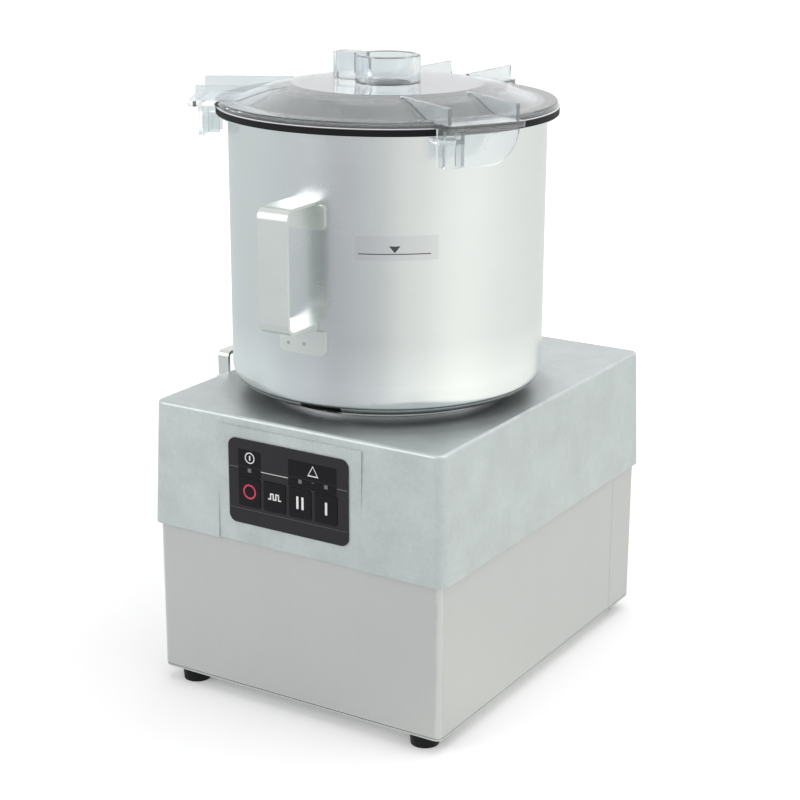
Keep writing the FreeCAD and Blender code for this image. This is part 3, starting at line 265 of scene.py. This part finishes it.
def edge_wear_and_highlight():
    """Worn edges of a box with a painted highlight: where the middle one of three distances to its
    faces is near zero.
    """
    sizes = [("Half Width", 0.14), ("Half Depth", 0.18), ("Top", 0.25), ("Lean", 0.03),
             ("Reach", 0.002)]
    tree, given, result = effect("edge_wear_and_highlight", sizes, ["Wear"])
    coords = tree.nodes.new("ShaderNodeTexCoord")
    split = tree.nodes.new("ShaderNodeSeparateXYZ")
    tree.links.new(coords.outputs["Object"], split.inputs[0])
    down = reckon(tree, "SUBTRACT", split.outputs["Z"], given.outputs["Top"])
    grown = reckon(tree, "MULTIPLY", down, given.outputs["Lean"])

    def past(axis, half):
        """Distance past one pair of leaning side faces."""
        aside = reckon(tree, "ABSOLUTE", split.outputs[axis])
        return reckon(tree, "ADD", reckon(tree, "SUBTRACT", aside, given.outputs[half]), grown)

    x_out, y_out = past("X", "Half Width"), past("Y", "Half Depth")
    low = reckon(tree, "MINIMUM", x_out, y_out)
    high = reckon(tree, "MAXIMUM", x_out, y_out)
    middle = reckon(tree, "MAXIMUM", low, reckon(tree, "MINIMUM", high, down))
    patches = noise(tree, object_place(tree), 55, 4.0, 0.6)
    patchy = reckon(tree, "MULTIPLY", patches, given.outputs["Reach"])
    reach = reckon(tree, "ADD", middle, reckon(tree, "MULTIPLY", patchy, 2.0))
    share = reckon(tree, "DIVIDE", reach, given.outputs["Reach"], clamp=True)
    tree.links.new(share, result.inputs["Wear"])
    return tree


CAST = texture_effect("cast_grain", (1, 1, 1), 9, 0.35)
ROUND_BRUSHED = texture_effect("round_brushing", (0.02, 0.02, 1), 13, 0.3)
UPRIGHT_GRAIN = texture_effect("upright_grain", (1, 1, 0.02), 26, 0.5)
LENGTHWISE = texture_effect("lengthwise_brushing", (0.02, 0.02, 1), 40, 0.6)
WEAR_AND_HIGHLIGHT = edge_wear_and_highlight()


def finish_base(name, colour, metallic, roughness, specular=0.5):
    """New material with plain values on its shader."""
    material = bpy.data.materials.new(name)
    material.use_nodes = True
    shader = material.node_tree.nodes["Principled BSDF"]
    shader.inputs["Base Color"].default_value = (*colour, 1)
    shader.inputs["Metallic"].default_value = metallic
    shader.inputs["Roughness"].default_value = roughness
    shader.inputs["Specular IOR Level"].default_value = specular
    return material, shader


def dressed(name, colour, metallic, roughness, texture=CAST, size=90, depth=0.15, relief=0.05,
            swing=0.08, specular=0.5):
    """Finish whose colour, roughness and fine relief follow one shared texture effect."""
    material, shader = finish_base(name, colour, metallic, roughness, specular)
    tree = material.node_tree
    group = new_node(tree, "ShaderNodeGroup", node_tree=texture)
    group.inputs["Size"].default_value = size
    group.inputs["Depth"].default_value = depth
    tint = new_node(tree, "ShaderNodeVectorMath", operation="SCALE", name="tint")
    tint.inputs[0].default_value = colour
    tree.links.new(group.outputs["Tone"], tint.inputs["Scale"])
    tree.links.new(tint.outputs["Vector"], shader.inputs["Base Color"])
    cloud = reckon(tree, "SUBTRACT", group.outputs["Cloud"], 0.5)
    uneven = reckon(tree, "MULTIPLY_ADD", cloud, swing, roughness)
    tree.links.new(uneven, shader.inputs["Roughness"])
    bump = tree.nodes.new("ShaderNodeBump")
    bump.inputs["Strength"].default_value = relief
    bump.inputs["Distance"].default_value = 0.0004
    tree.links.new(group.outputs["Height"], bump.inputs["Height"])
    tree.links.new(bump.outputs["Normal"], shader.inputs["Normal"])
    return material


def worn_and_highlit(material, bright, half_width, half_depth, top, lean, reach):
    """Adds lighter edges of a box to a dressed finish, partly wear and partly a painted highlight."""
    tree = material.node_tree
    group = new_node(tree, "ShaderNodeGroup", node_tree=WEAR_AND_HIGHLIGHT)
    for label, value in (("Half Width", half_width), ("Half Depth", half_depth), ("Top", top),
                         ("Lean", lean), ("Reach", reach)):
        group.inputs[label].default_value = value
    blend = new_node(tree, "ShaderNodeMix", data_type="RGBA")
    tree.links.new(group.outputs["Wear"], blend.inputs["Factor"])
    tree.links.new(tree.nodes["tint"].outputs["Vector"], blend.inputs["A"])
    blend.inputs["B"].default_value = (*bright, 1)
    tree.links.new(blend.outputs["Result"], tree.nodes["Principled BSDF"].inputs["Base Color"])
    return material


def toned(material, tone):
    """Multiplies the colour of a dressed finish by one more tone, a socket."""
    tree = material.node_tree
    scale = tree.nodes["tint"].inputs["Scale"]
    tree.links.new(reckon(tree, "MULTIPLY", scale.links[0].from_socket, tone), scale)
    return material


# tone of the bowl's steel by height above its underside in mm: painted shade on the underside, a paler
# lower corner, a dark line of painted shade above it for the gap over the foot ring, then the wall, a
# little brighter low down
FOOT_TONE_TOP = 1.2
FOOT_STOPS = ((-0.8, 0.9), (-0.4, 0.16), (0.8, 0.16), (2.6, 0.75), (6.0, 0.9), (6.8, 0.18), (7.4, 0.18),
              (8.6, 0.95), (24.0, 0.98), (60.0, 0.833))
# where the painted shade of the foot's notches stays away: 1 outside this stretch of height, in mm
NOTCH_STOPS = ((-0.8, 1.0), (-0.4, 0.0), (6.3, 0.0), (6.8, 1.0))
NOTCH_MIDDLE = math.radians(7.3)
NOTCH_HALF = math.radians(7.8)
NOTCH_EDGE = 150.0         # how sharply a notch ends, per radian
# painted shade on the hood's top, for the bowl's shadow and the dark reflection of its underside: tone
# by radius from the bowl's axis, in metres
HOOD_SHADE = ((0.116, 0.6), (0.134, 0.78), (0.148, 0.96), (0.165, 1.0))
HOOD_FADE = (0.0035, 0.001)      # below its top: where the top's finish starts, and where it is full
# colour of the rubber under the clear rim by distance in from its edge, in mm: painted glare, then the
# grey of a painted reflection of the rim
RIM_GLARE = ((0.0, (0.80, 0.80, 0.82)), (1.3, (0.75, 0.75, 0.78)), (1.9, (0.13, 0.125, 0.16)),
             (4.5, (0.24, 0.235, 0.28)), (8.0, (0.45, 0.46, 0.5)))
RIM_FADE = (0.0009, 0.0003)      # the same for the upper face of the rubber


def foot_shade(material, floor_z, notch_middle, notch_half, notches=3):
    """Painted shade by height and angle: darker underside, a fine dark line above the bowl's foot, and
    its dark notches.
    """
    tree = material.node_tree
    _, angle, height = around_axis(tree)
    up = reckon(tree, "MULTIPLY_ADD", height, 1 / MM, -floor_z)
    tone = reckon(tree, "MULTIPLY", stops_along(tree, up, FOOT_STOPS), FOOT_TONE_TOP)
    pitch = 2 * math.pi / notches
    turned = reckon(tree, "WRAP", reckon(tree, "SUBTRACT", angle, notch_middle), pitch / 2, -pitch / 2)
    beside = reckon(tree, "MULTIPLY_ADD", reckon(tree, "ABSOLUTE", turned), NOTCH_EDGE,
                    -NOTCH_EDGE * notch_half, clamp=True)
    closed = stops_along(tree, up, NOTCH_STOPS)
    return toned(material, reckon(tree, "MULTIPLY", tone, reckon(tree, "MAXIMUM", beside, closed)))


def smooth_top_with_painted_shade(material, top_z, metallic, less_rough):
    """Makes the level top of a dressed finish smoother than its sides, with painted shade near the
    bowl.
    """
    tree = material.node_tree
    shader = tree.nodes["Principled BSDF"]
    radius, _, height = around_axis(tree)
    level = stops_along(tree, height, ((top_z - HOOD_FADE[0], 0.0), (top_z - HOOD_FADE[1], 1.0)))
    darker = reckon(tree, "SUBTRACT", 1.0, stops_along(tree, radius, HOOD_SHADE, "EASE"))
    toned(material, reckon(tree, "SUBTRACT", 1.0, reckon(tree, "MULTIPLY", level, darker)))
    rough = shader.inputs["Roughness"]
    tree.links.new(reckon(tree, "MULTIPLY_ADD", level, -less_rough, rough.links[0].from_socket), rough)
    metal = shader.inputs["Metallic"]
    sides = metal.default_value
    tree.links.new(reckon(tree, "MULTIPLY_ADD", level, metallic - sides, sides), metal)
    return material


def under_clear_rim(material, top_z, rim_r):
    """Where rubber lies under the lid's clear rim it is painted grey, a painted reflection of the rim,
    with a line of painted glare at the edge.
    """
    tree = material.node_tree
    radius, _, height = around_axis(tree)
    inward = reckon(tree, "MULTIPLY_ADD", radius, -1 / MM, rim_r)
    seen = stops_along(tree, inward, RIM_GLARE)
    share = stops_along(tree, height, ((top_z - RIM_FADE[0], 0.0), (top_z - RIM_FADE[1], 1.0)))
    blend = new_node(tree, "ShaderNodeMix", data_type="RGBA")
    tree.links.new(share, blend.inputs["Factor"])
    tree.links.new(tree.nodes["tint"].outputs["Vector"], blend.inputs["A"])
    tree.links.new(seen, blend.inputs["B"])
    tree.links.new(blend.outputs["Result"], tree.nodes["Principled BSDF"].inputs["Base Color"])
    return material


def clear_plastic(name):
    """Clear moulded plastic: smooth, nearly colourless, with faint handling marks."""
    material, shader = finish_base(name, (0.94, 0.98, 1.0), 0.0, 0.06)
    shader.inputs["Transmission Weight"].default_value = 0.90
    shader.inputs["IOR"].default_value = 1.58
    tree = material.node_tree
    marks = noise(tree, object_place(tree), 45, 4.0, 0.6)
    tree.links.new(reckon(tree, "MULTIPLY_ADD", marks, 0.10, 0.02), shader.inputs["Roughness"])
    return material


hood_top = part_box("hood")[1]
casing_low, casing_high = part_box("body_shell")
gasket_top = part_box("lid_gasket")[1]
bowl_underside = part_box("bowl_foot_ring")[1].z / MM
HOOD_EDGE_R = 0.0034       # round edge of the hood
HOOD_HEIGHT = 0.108        # over which its sides lean out by as much as the edge's radius
CASING_BEND = 0.003        # outer radius of the folded sheet


def hood_finish():
    """Blasted casting with clouds, worn edges with a painted highlight, and a smoother top with painted
    shade near the bowl.
    """
    casting = dressed("blasted_casting", (0.54, 0.59, 0.585), 0.3, 0.5, CAST, 30, 0.5, 0.07, 0.15)
    # lighter edges: partly wear, partly a painted highlight along the round edge
    worn_and_highlit(casting, (0.63, 0.66, 0.67), hood_top.x - HOOD_EDGE_R, hood_top.y - HOOD_EDGE_R, hood_top.z,
           HOOD_EDGE_R / HOOD_HEIGHT, 0.0026)
    # smoother top, with painted shade near the bowl
    return smooth_top_with_painted_shade(casting, hood_top.z, 0.5, 0.14)


def casing_finish():
    """Sheet with faint upright grain and paler bends, a painted highlight; its top lies hidden, so none
    is given.
    """
    sheet = dressed("casing_sheet", (0.545, 0.56, 0.545), 0.25, 0.42,
                    UPRIGHT_GRAIN, 14, 0.08, 0.02, 0.12)
    # paler bends: a painted highlight along the folds of the sheet
    return worn_and_highlit(sheet, (0.64, 0.66, 0.64), casing_high.x - CASING_BEND, -casing_low.y - CASING_BEND,
                  1.0, 0.0, 0.002)


def bowl_finish():
    """Round brushed steel with painted shade at the foot."""
    steel = dressed("bowl_steel", (0.685, 0.71, 0.715), 1.0, 0.27, ROUND_BRUSHED, 20, 0.10, 0.006, 0.08)
    return foot_shade(steel, bowl_underside, NOTCH_MIDDLE, NOTCH_HALF)


def rubber_finish():
    """Black rubber, with painted glare and a painted grey reflection under the clear rim."""
    rubber = dressed("black_rubber", (0.005, 0.005, 0.006), 0.0, 0.6, CAST, 120, 0.5, 0.15, 0.1, 0.2)
    return under_clear_rim(rubber, gasket_top.z, gasket_top.x / MM)


FINISHES = {
    "cast_alloy": hood_finish(),
    "casing_sheet": casing_finish(),
    "bowl_steel": bowl_finish(),
    "handle_steel": dressed("handle_steel", (0.73, 0.765, 0.735), 0.8, 0.30,
                            LENGTHWISE, 24, 0.12, 0.03, 0.1),
    "blade_steel": dressed("blade_steel", (0.62, 0.62, 0.63), 1.0, 0.2, ROUND_BRUSHED, 40, 0.08, 0.02),
    "clear_plastic": clear_plastic("clear_plastic"),
    "black_rubber": rubber_finish(),
    "panel_foil": dressed("panel_foil", (0.026, 0.0255, 0.0275), 0.0, 0.5,
                          CAST, 160, 0.25, 0.06, 0.1, 0.2),
    "key_foil": dressed("key_foil", (0.007, 0.0065, 0.008), 0.0, 0.42, CAST, 160, 0.3, 0.06, 0.1, 0.2),
    "lamp_lens": dressed("lamp_lens", (0.16, 0.16, 0.165), 0.0, 0.3, CAST, 200, 0.3, 0.02),
    "circuit_board": dressed("circuit_board", (0.02, 0.13, 0.06), 0.0, 0.4, CAST, 300, 0.3, 0.1),
    "bolt_steel": dressed("bolt_steel", (0.5, 0.5, 0.5), 1.0, 0.3, CAST, 200, 0.2, 0.05),
    "machined_alloy": dressed("machined_alloy", (0.55, 0.56, 0.58), 1.0, 0.35,
                              ROUND_BRUSHED, 60, 0.15, 0.05),
    "motor_core": dressed("motor_core", (0.25, 0.25, 0.26), 0.8, 0.5, UPRIGHT_GRAIN, 60, 0.3, 0.05),
    "winding_copper": dressed("winding_copper", (0.55, 0.22, 0.08), 0.9, 0.4,
                              ROUND_BRUSHED, 80, 0.4, 0.1),
    "bearing_steel": dressed("bearing_steel", (0.6, 0.6, 0.6), 1.0, 0.2, ROUND_BRUSHED, 80, 0.1, 0.02),
    "shaft_steel": dressed("shaft_steel", (0.5, 0.5, 0.5), 1.0, 0.25, ROUND_BRUSHED, 80, 0.1, 0.02),
    "dark_plastic": dressed("dark_plastic", (0.03, 0.03, 0.03), 0.0, 0.45, CAST, 200, 0.3, 0.05),
    "housing_plastic": dressed("housing_plastic", (0.4, 0.4, 0.4), 0.0, 0.5, CAST, 200, 0.15, 0.05),
}
INK_WHITE = dressed("white_ink", (0.80, 0.80, 0.80), 0.0, 0.5, CAST, 300, 0.12, 0.05)
INK_RED = dressed("red_ink", (0.62, 0.035, 0.085), 0.0, 0.5, CAST, 300, 0.15, 0.05)
INK_GREY = dressed("grey_ink", (0.14, 0.14, 0.145), 0.0, 0.5, CAST, 300, 0.2, 0.05)
INK_DIM = dressed("dim_ink", (0.075, 0.075, 0.08), 0.0, 0.5, CAST, 300, 0.2, 0.05)
INK_SLATE = dressed("slate_ink", (0.045, 0.05, 0.06), 0.0, 0.5, CAST, 300, 0.3, 0.05)
WINDOW = dressed("window_black", (0.007, 0.0065, 0.009), 0.0, 0.35, CAST, 160, 0.3, 0.03, 0.1, 0.2)
FILM = dressed("level_film", (0.635, 0.65, 0.665), 0.97, 0.29, CAST, 60, 0.06, 0.03)


def finish_nodes():
    """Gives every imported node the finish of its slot."""
    for piece in frame["record"]["subparts"]:
        node = frame["nodes"][piece["node"]]
        node.data.materials.clear()
        node.data.materials.append(FINISHES[piece["material_slot"]])


finish_nodes()


# ---------------------------------------------------------------- surfaces

def grid_quads(start, around, across, loop):
    """Four-cornered faces of a grid of points numbered row by row."""
    i = np.arange(around if loop else around - 1)[:, None]
    j = np.arange(across - 1)[None, :]
    here = start + i * across + j
    ahead = start + (i + 1) % around * across + j
    return np.stack([here, ahead, ahead + 1, here + 1], axis=-1).reshape(-1, 4)


def rim_quads(first, second, loop):
    """Wall between two rows of points."""
    if loop:
        first, second = np.append(first, first[0]), np.append(second, second[0])
    return np.stack([first[:-1], first[1:], second[1:], second[:-1]], axis=-1)


def add_piece(name, points, quads, finish, body):
    """Mesh from arrays of points (metres) and quads, doubles merged, faces outward, on a body."""
    mesh = bpy.data.meshes.new(name)
    mesh.from_pydata(points.tolist(), [], quads.tolist())
    shape = bmesh.new()
    shape.from_mesh(mesh)
    bmesh.ops.remove_doubles(shape, verts=shape.verts, dist=1e-7)
    bmesh.ops.dissolve_degenerate(shape, edges=shape.edges, dist=1e-8)
    bmesh.ops.recalc_face_normals(shape, faces=shape.faces)
    shape.to_mesh(mesh)
    shape.free()
    mesh.materials.append(finish)
    piece = bpy.data.objects.new(name, mesh)
    bpy.context.scene.collection.objects.link(piece)
    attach(piece, body)


def slab(name, low, high, loop, finish, body):
    """Closed slab between two grids of points (around, across, xyz, in mm), joined along their rims."""
    around, across = low.shape[:2]
    count = around * across
    numbers = np.arange(count).reshape(around, across)
    quads = [grid_quads(0, around, across, loop), grid_quads(count, around, across, loop),
             rim_quads(numbers[:, 0], numbers[:, 0] + count, loop),
             rim_quads(numbers[:, -1], numbers[:, -1] + count, loop)]
    if not loop:
        quads += [rim_quads(numbers[0], numbers[0] + count, False),
                  rim_quads(numbers[-1], numbers[-1] + count, False)]
    points = np.concatenate([low.reshape(-1, 3), high.reshape(-1, 3)]) * MM
    add_piece(name, points, np.concatenate(quads), finish, body)


def circle(radius, steps=72):
    """Outline (radius cos t, radius sin t)."""
    t = np.linspace(0, 2 * math.pi, steps, endpoint=False)
    return np.stack([radius * np.cos(t), radius * np.sin(t)], axis=-1)


def round_box(width, height, radius, steps=6):
    """Outline of a box with round corners: quarter circles round the four inner corner points."""
    t = np.linspace(0, math.pi / 2, steps)
    turns = (t[None, :] + np.arange(4)[:, None] * math.pi / 2).reshape(-1)
    corner_x = np.repeat(np.array([1, -1, -1, 1]) * (width / 2 - radius), steps)
    corner_y = np.repeat(np.array([1, 1, -1, -1]) * (height / 2 - radius), steps)
    return np.stack([corner_x + radius * np.cos(turns), corner_y + radius * np.sin(turns)], axis=-1)


def filled(outline, rings=3):
    """Grid from an outline in to its middle: outline scaled by s from 1 to 0."""
    s = np.linspace(1, 0, rings)
    return outline[:, None, :] * s[None, :, None]


def band(outer, inner):
    """Grid between two outlines with as many points each."""
    return np.stack([outer, inner], axis=1)


def stroke(path, width):
    """Grid along a path, half the width to each side, with mitred corners: (n1 + n2) / (1 + n1.n2)."""
    path = np.asarray(path, float)
    along = np.diff(path, axis=0)
    along /= np.linalg.norm(along, axis=1)[:, None]
    normal = np.stack([-along[:, 1], along[:, 0]], axis=-1)
    before = np.concatenate([normal[:1], normal])
    after = np.concatenate([normal, normal[-1:]])
    mitre = (before + after) / (1 + np.sum(before * after, axis=1))[:, None]
    return np.stack([path - mitre * width / 2, path + mitre * width / 2], axis=1)


def patch(width, height, columns, rows=2):
    """Even grid over a box."""
    across = np.linspace(-width / 2, width / 2, columns)
    upward = np.linspace(-height / 2, height / 2, rows)
    u, v = np.meshgrid(across, upward, indexing="ij")
    return np.stack([u, v], axis=-1)


SUNK = 0.05                # depth of a printed slab below the surface it lies on, in mm


def on_front(grid, centre, face, lift):
    """Flat grid (x, z) laid on an upright face of the front, at y = face, proud by the lift."""
    x, z = grid[..., 0] + centre[0], grid[..., 1] + centre[1]
    return [np.stack([x, np.full_like(x, face - out), z], axis=-1) for out in (-SUNK, lift)]


def on_bowl(grid, azimuth, height, radius, lift):
    """Grid (arc, z) wrapped round the bowl: angle = azimuth + arc / radius, proud by the lift."""
    angle = math.radians(azimuth) + grid[..., 0] / radius
    z = grid[..., 1] + height
    return [np.stack([r * np.sin(angle), BOWL_Y - r * np.cos(angle), z], axis=-1)
            for r in (radius - SUNK, radius + lift)]


def print_on_front(name, grid, centre, face, loop, ink, body, lift=0.08):
    """Thin slab of ink on an upright face of the front."""
    low, high = on_front(grid, centre, face, lift)
    slab(name, low, high, loop, ink, body)


def span(low, high):
    """Width and middle of a stretch."""
    return high - low, (high + low) / 2


# ---------------------------------------------------------------- printing on the control panel

WINDOW_TOP = 228.0         # top of the panel's black windows, in mm
WINDOW_SPLIT = 213.4       # between a window and the strips with the lamps
WINDOW_FOOT = 205.3
WINDOW_GAP = 0.3           # on either side of the split
WINDOW_LEFT = (11.0, 11.4)       # how far a window reaches past its outer lamps, left and right
WINDOW_RIGHT = (11.5, 10.2)
LAMP_GAP = 0.3             # a strip's hole over the lamp in it
SYMBOL_Z = 221.4           # middle of the power symbol
ON_INK = 0.06              # ink on ink lies this much further out
FINE = 0.5                 # thickness of a thin rule


def box_mm(node):
    """Lowest and highest corner of a node, in mm."""
    low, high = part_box(node)
    return np.array(low) / MM, np.array(high) / MM


def print_window(side, x0, x1, lamps, lamp_z, hole, face):
    """Black window with, below it, one strip round each lamp's square hole."""
    wide, x = span(x0, x1)
    tall, z = span(WINDOW_SPLIT + WINDOW_GAP, WINDOW_TOP)
    print_on_front("window_" + side, filled(round_box(wide, tall, 0.8)), (x, z), face, True, WINDOW,
                   "base")
    edges = [x0] + [(a + b) / 2 for a, b in zip(lamps, lamps[1:])] + [x1]
    for number, lamp in enumerate(lamps):
        wide, x = span(edges[number], edges[number + 1])
        tall, z = span(WINDOW_FOOT, WINDOW_SPLIT - WINDOW_GAP)
        around_lamp = band(round_box(wide - 0.1, tall, 0.3), hole + np.array([lamp - x, lamp_z - z]))
        print_on_front("lamp_strip_%s_%d" % (side, number + 1), around_lamp, (x, z), face, True, WINDOW,
                       "base")


def print_panel():
    """Black windows with lamps, thin rules and two plain symbols on the fixed panel."""
    low, high = box_mm("control_panel")
    face = low[1]
    lamp_low, lamp_high = box_mm("status_lamps")
    lamp_z = (lamp_low[2] + lamp_high[2]) / 2
    lamp_half = (lamp_high[2] - lamp_low[2]) / 2
    left_x = lamp_low[0] + lamp_half
    right_x = lamp_high[0] - lamp_half
    key_pitch = (right_x - left_x) / 3
    middle_x = right_x - key_pitch
    hole = round_box(2 * lamp_half + LAMP_GAP, 2 * lamp_half + LAMP_GAP, 0.2)
    windows = (("left", left_x - WINDOW_LEFT[0], left_x + WINDOW_LEFT[1], (left_x,)),
               ("right", middle_x - WINDOW_RIGHT[0], right_x + WINDOW_RIGHT[1], (middle_x, right_x)))
    for side, x0, x1, lamps in windows:
        print_window(side, x0, x1, lamps, lamp_z, hole, face)
    rules = (("rule_left", low[0] + 0.6, windows[0][1] - 0.2, 211.9, FINE, INK_GREY),
             ("rule_middle", windows[0][2] + 0.3, windows[1][1] - 0.3, 211.5, FINE, INK_WHITE),
             ("rule_right", windows[1][2] + 0.3, high[0] - 0.6, 211.2, 0.6, INK_GREY),
             ("rule_lower", low[0] + 0.8, high[0] - 0.8, 176.3, FINE, INK_DIM))
    for name, x0, x1, z, thick, ink in rules:
        wide, x = span(x0, x1)
        print_on_front(name, patch(wide, thick, 2), (x, z), face, False, ink, "base")
    power = (left_x + 0.6, SYMBOL_Z)
    notice = (middle_x + 12.6, SYMBOL_Z - 0.6)
    corners = np.array([(0.0, 5.4), (-5.3, -4.0), (5.3, -4.0)])
    symbols = (("power_ring", band(circle(4.8), circle(3.9)), power, True, INK_WHITE),
               ("power_bar", filled(round_box(1.3, 4.2, 0.6)), power, True, INK_WHITE),
               ("notice_triangle", band(corners, corners * 0.76), notice, True, INK_WHITE),
               ("lamp_tick", patch(2.6, FINE, 2), (notice[0], 211.7), False, INK_GREY))
    for name, grid, centre, loop, ink in symbols:
        print_on_front(name, grid, centre, face - ON_INK, loop, ink, "base")


def print_keys():
    """Ring, pulse wave, two bars and one bar, each on its own key."""
    wave = [(-6.4, -2.2), (-3.9, -2.2), (-3.9, 2.4), (-1.3, 2.4), (-1.3, -2.2), (1.3, -2.2), (1.3, 2.4),
            (3.9, 2.4), (3.9, -2.2), (6.4, -2.2)]
    bar = filled(round_box(2.1, 10.8, 0.5))
    marks = (("key_stop", "stop_key", "stop_ring", band(circle(6.4), circle(4.9)), 0.1, INK_RED, True),
             ("key_pulse", "pulse_key", "pulse_wave", stroke(wave, 1.1), 0.0, INK_WHITE, False),
             ("key_speed_two", "speed_two_key", "speed_two_bar_1", bar, -2.5, INK_WHITE, True),
             ("key_speed_two", "speed_two_key", "speed_two_bar_2", bar, 2.5, INK_WHITE, True),
             ("key_speed_one", "speed_one_key", "speed_one_bar", bar, 0.3, INK_WHITE, True))
    for node, body, name, grid, aside, ink, loop in marks:
        low, high = box_mm(node)
        centre = ((low[0] + high[0]) / 2 + aside, (low[2] + high[2]) / 2 + 0.3)
        print_on_front(name, grid, centre, low[1], loop, ink, body)


# ---------------------------------------------------------------- marks on the bowl

FILM_AZIMUTH = 35.2        # degrees from the front
FILM_Z = 402.25
FILM_SIZE = (65.3, 19.1)   # along the wall and upward, in mm
FILM_THICKNESS = 0.12
LINE_AZIMUTH = FILM_AZIMUTH - 0.8
LINE_Z = 397.7
LINE_SIZE = (57.0, 0.75)
PLATE_THICKNESS = 2.5      # the handle's plates on the wall
WELDS = ((-3.9, 320.8), (2.6, 321.8))    # azimuth and height of the spot welds
WELD_R = 1.5
WELD_LIFT = 0.12


def level_mark():
    """Film on the bowl's wall with the filling line and a plain pointer down to it."""
    low, high = on_bowl(patch(*FILM_SIZE, 41), FILM_AZIMUTH, FILM_Z, BOWL_R, FILM_THICKNESS)
    slab("level_film", low, high, False, FILM, "bowl")
    pointer = filled(np.array([(-4.4, 1.8), (0.0, -3.6), (4.4, 1.8)]))
    marks = (("level_line", patch(*LINE_SIZE, 41), LINE_Z, False),
             ("level_pointer", pointer, LINE_Z + 4.5, True))
    for name, grid, z, loop in marks:
        low, high = on_bowl(grid, LINE_AZIMUTH, z, BOWL_R + FILM_THICKNESS, ON_INK)
        slab(name, low, high, loop, INK_SLATE, "bowl")


def weld_dots():
    """Shallow round marks of the spot welds on the handle's lower plate."""
    for number, (azimuth, z) in enumerate(WELDS):
        low, high = on_bowl(filled(circle(WELD_R, 24)), azimuth, z, BOWL_R + PLATE_THICKNESS, WELD_LIFT)
        slab("weld_dot_%d" % (number + 1), low, high, True, FINISHES["bolt_steel"],
             "bowl")


# ---------------------------------------------------------------- small screws

SEAT_SCREW_RING = 96.0     # radius of the ring of screws in the bowl's seat
SEAT_FLANGE = 2.5          # thickness of the seat's flange
SEAT_SCREW = (3.4, 2.0)    # radius and height of the head
REAR_SCREW_INSET = 22.0    # outer rear screws from the cover's sides
REAR_SCREW_RISE = 6.0      # above the cover's lower edge
REAR_SCREW = (3.6, 2.2)


def socket_screw(name, centre, outward, up, radius, height, body):
    """Button head turned about its axis; its six-sided socket has radius s / cos(angle from a flat)."""
    t = np.linspace(0, 2 * math.pi, 48, endpoint=False)
    flat = 0.42 * radius / np.cos((t + math.pi / 6) % (math.pi / 3) - math.pi / 6)
    ones = np.ones_like(t)
    rows = ((0 * ones, 0.35), (flat, 0.35), (flat, 1.0), (0.72 * radius * ones, 0.97),
            (0.92 * radius * ones, 0.72), (radius * ones, 0.3), (radius * ones, -0.1), (0 * ones, -0.1))
    outward, up = np.array(outward, float), np.array(up, float)
    side = np.cross(up, outward)
    middle = np.array(centre)
    points = np.stack([middle + (r * np.cos(t))[:, None] * side + (r * np.sin(t))[:, None] * up
                       + level * height * outward for r, level in rows], axis=1)
    add_piece(name, points.reshape(-1, 3) * MM, grid_quads(0, len(t), len(rows), True),
              FINISHES["bolt_steel"], body)


def fit_screws():
    """Screws of the rear cover into the tray's edge, and of the bowl's seat into the hood."""
    low, high = box_mm("rear_cover")
    for number, x in enumerate((low[0] + REAR_SCREW_INSET, 0.0, high[0] - REAR_SCREW_INSET)):
        socket_screw("rear_screw_%d" % (number + 1), (x, high[1], low[2] + REAR_SCREW_RISE),
                     (0, 1, 0), (0, 0, 1), *REAR_SCREW, "base")
    flange = box_mm("bowl_seat")[0][2] + SEAT_FLANGE
    for number in range(3):
        a = math.radians(60 + 120 * number)
        place = (SEAT_SCREW_RING * math.sin(a), BOWL_Y - SEAT_SCREW_RING * math.cos(a), flange)
        socket_screw("seat_screw_%d" % (number + 1), place, (0, 0, 1), (0, 1, 0), *SEAT_SCREW, "base")


print_panel()
print_keys()
level_mark()
weld_dots()
fit_screws()
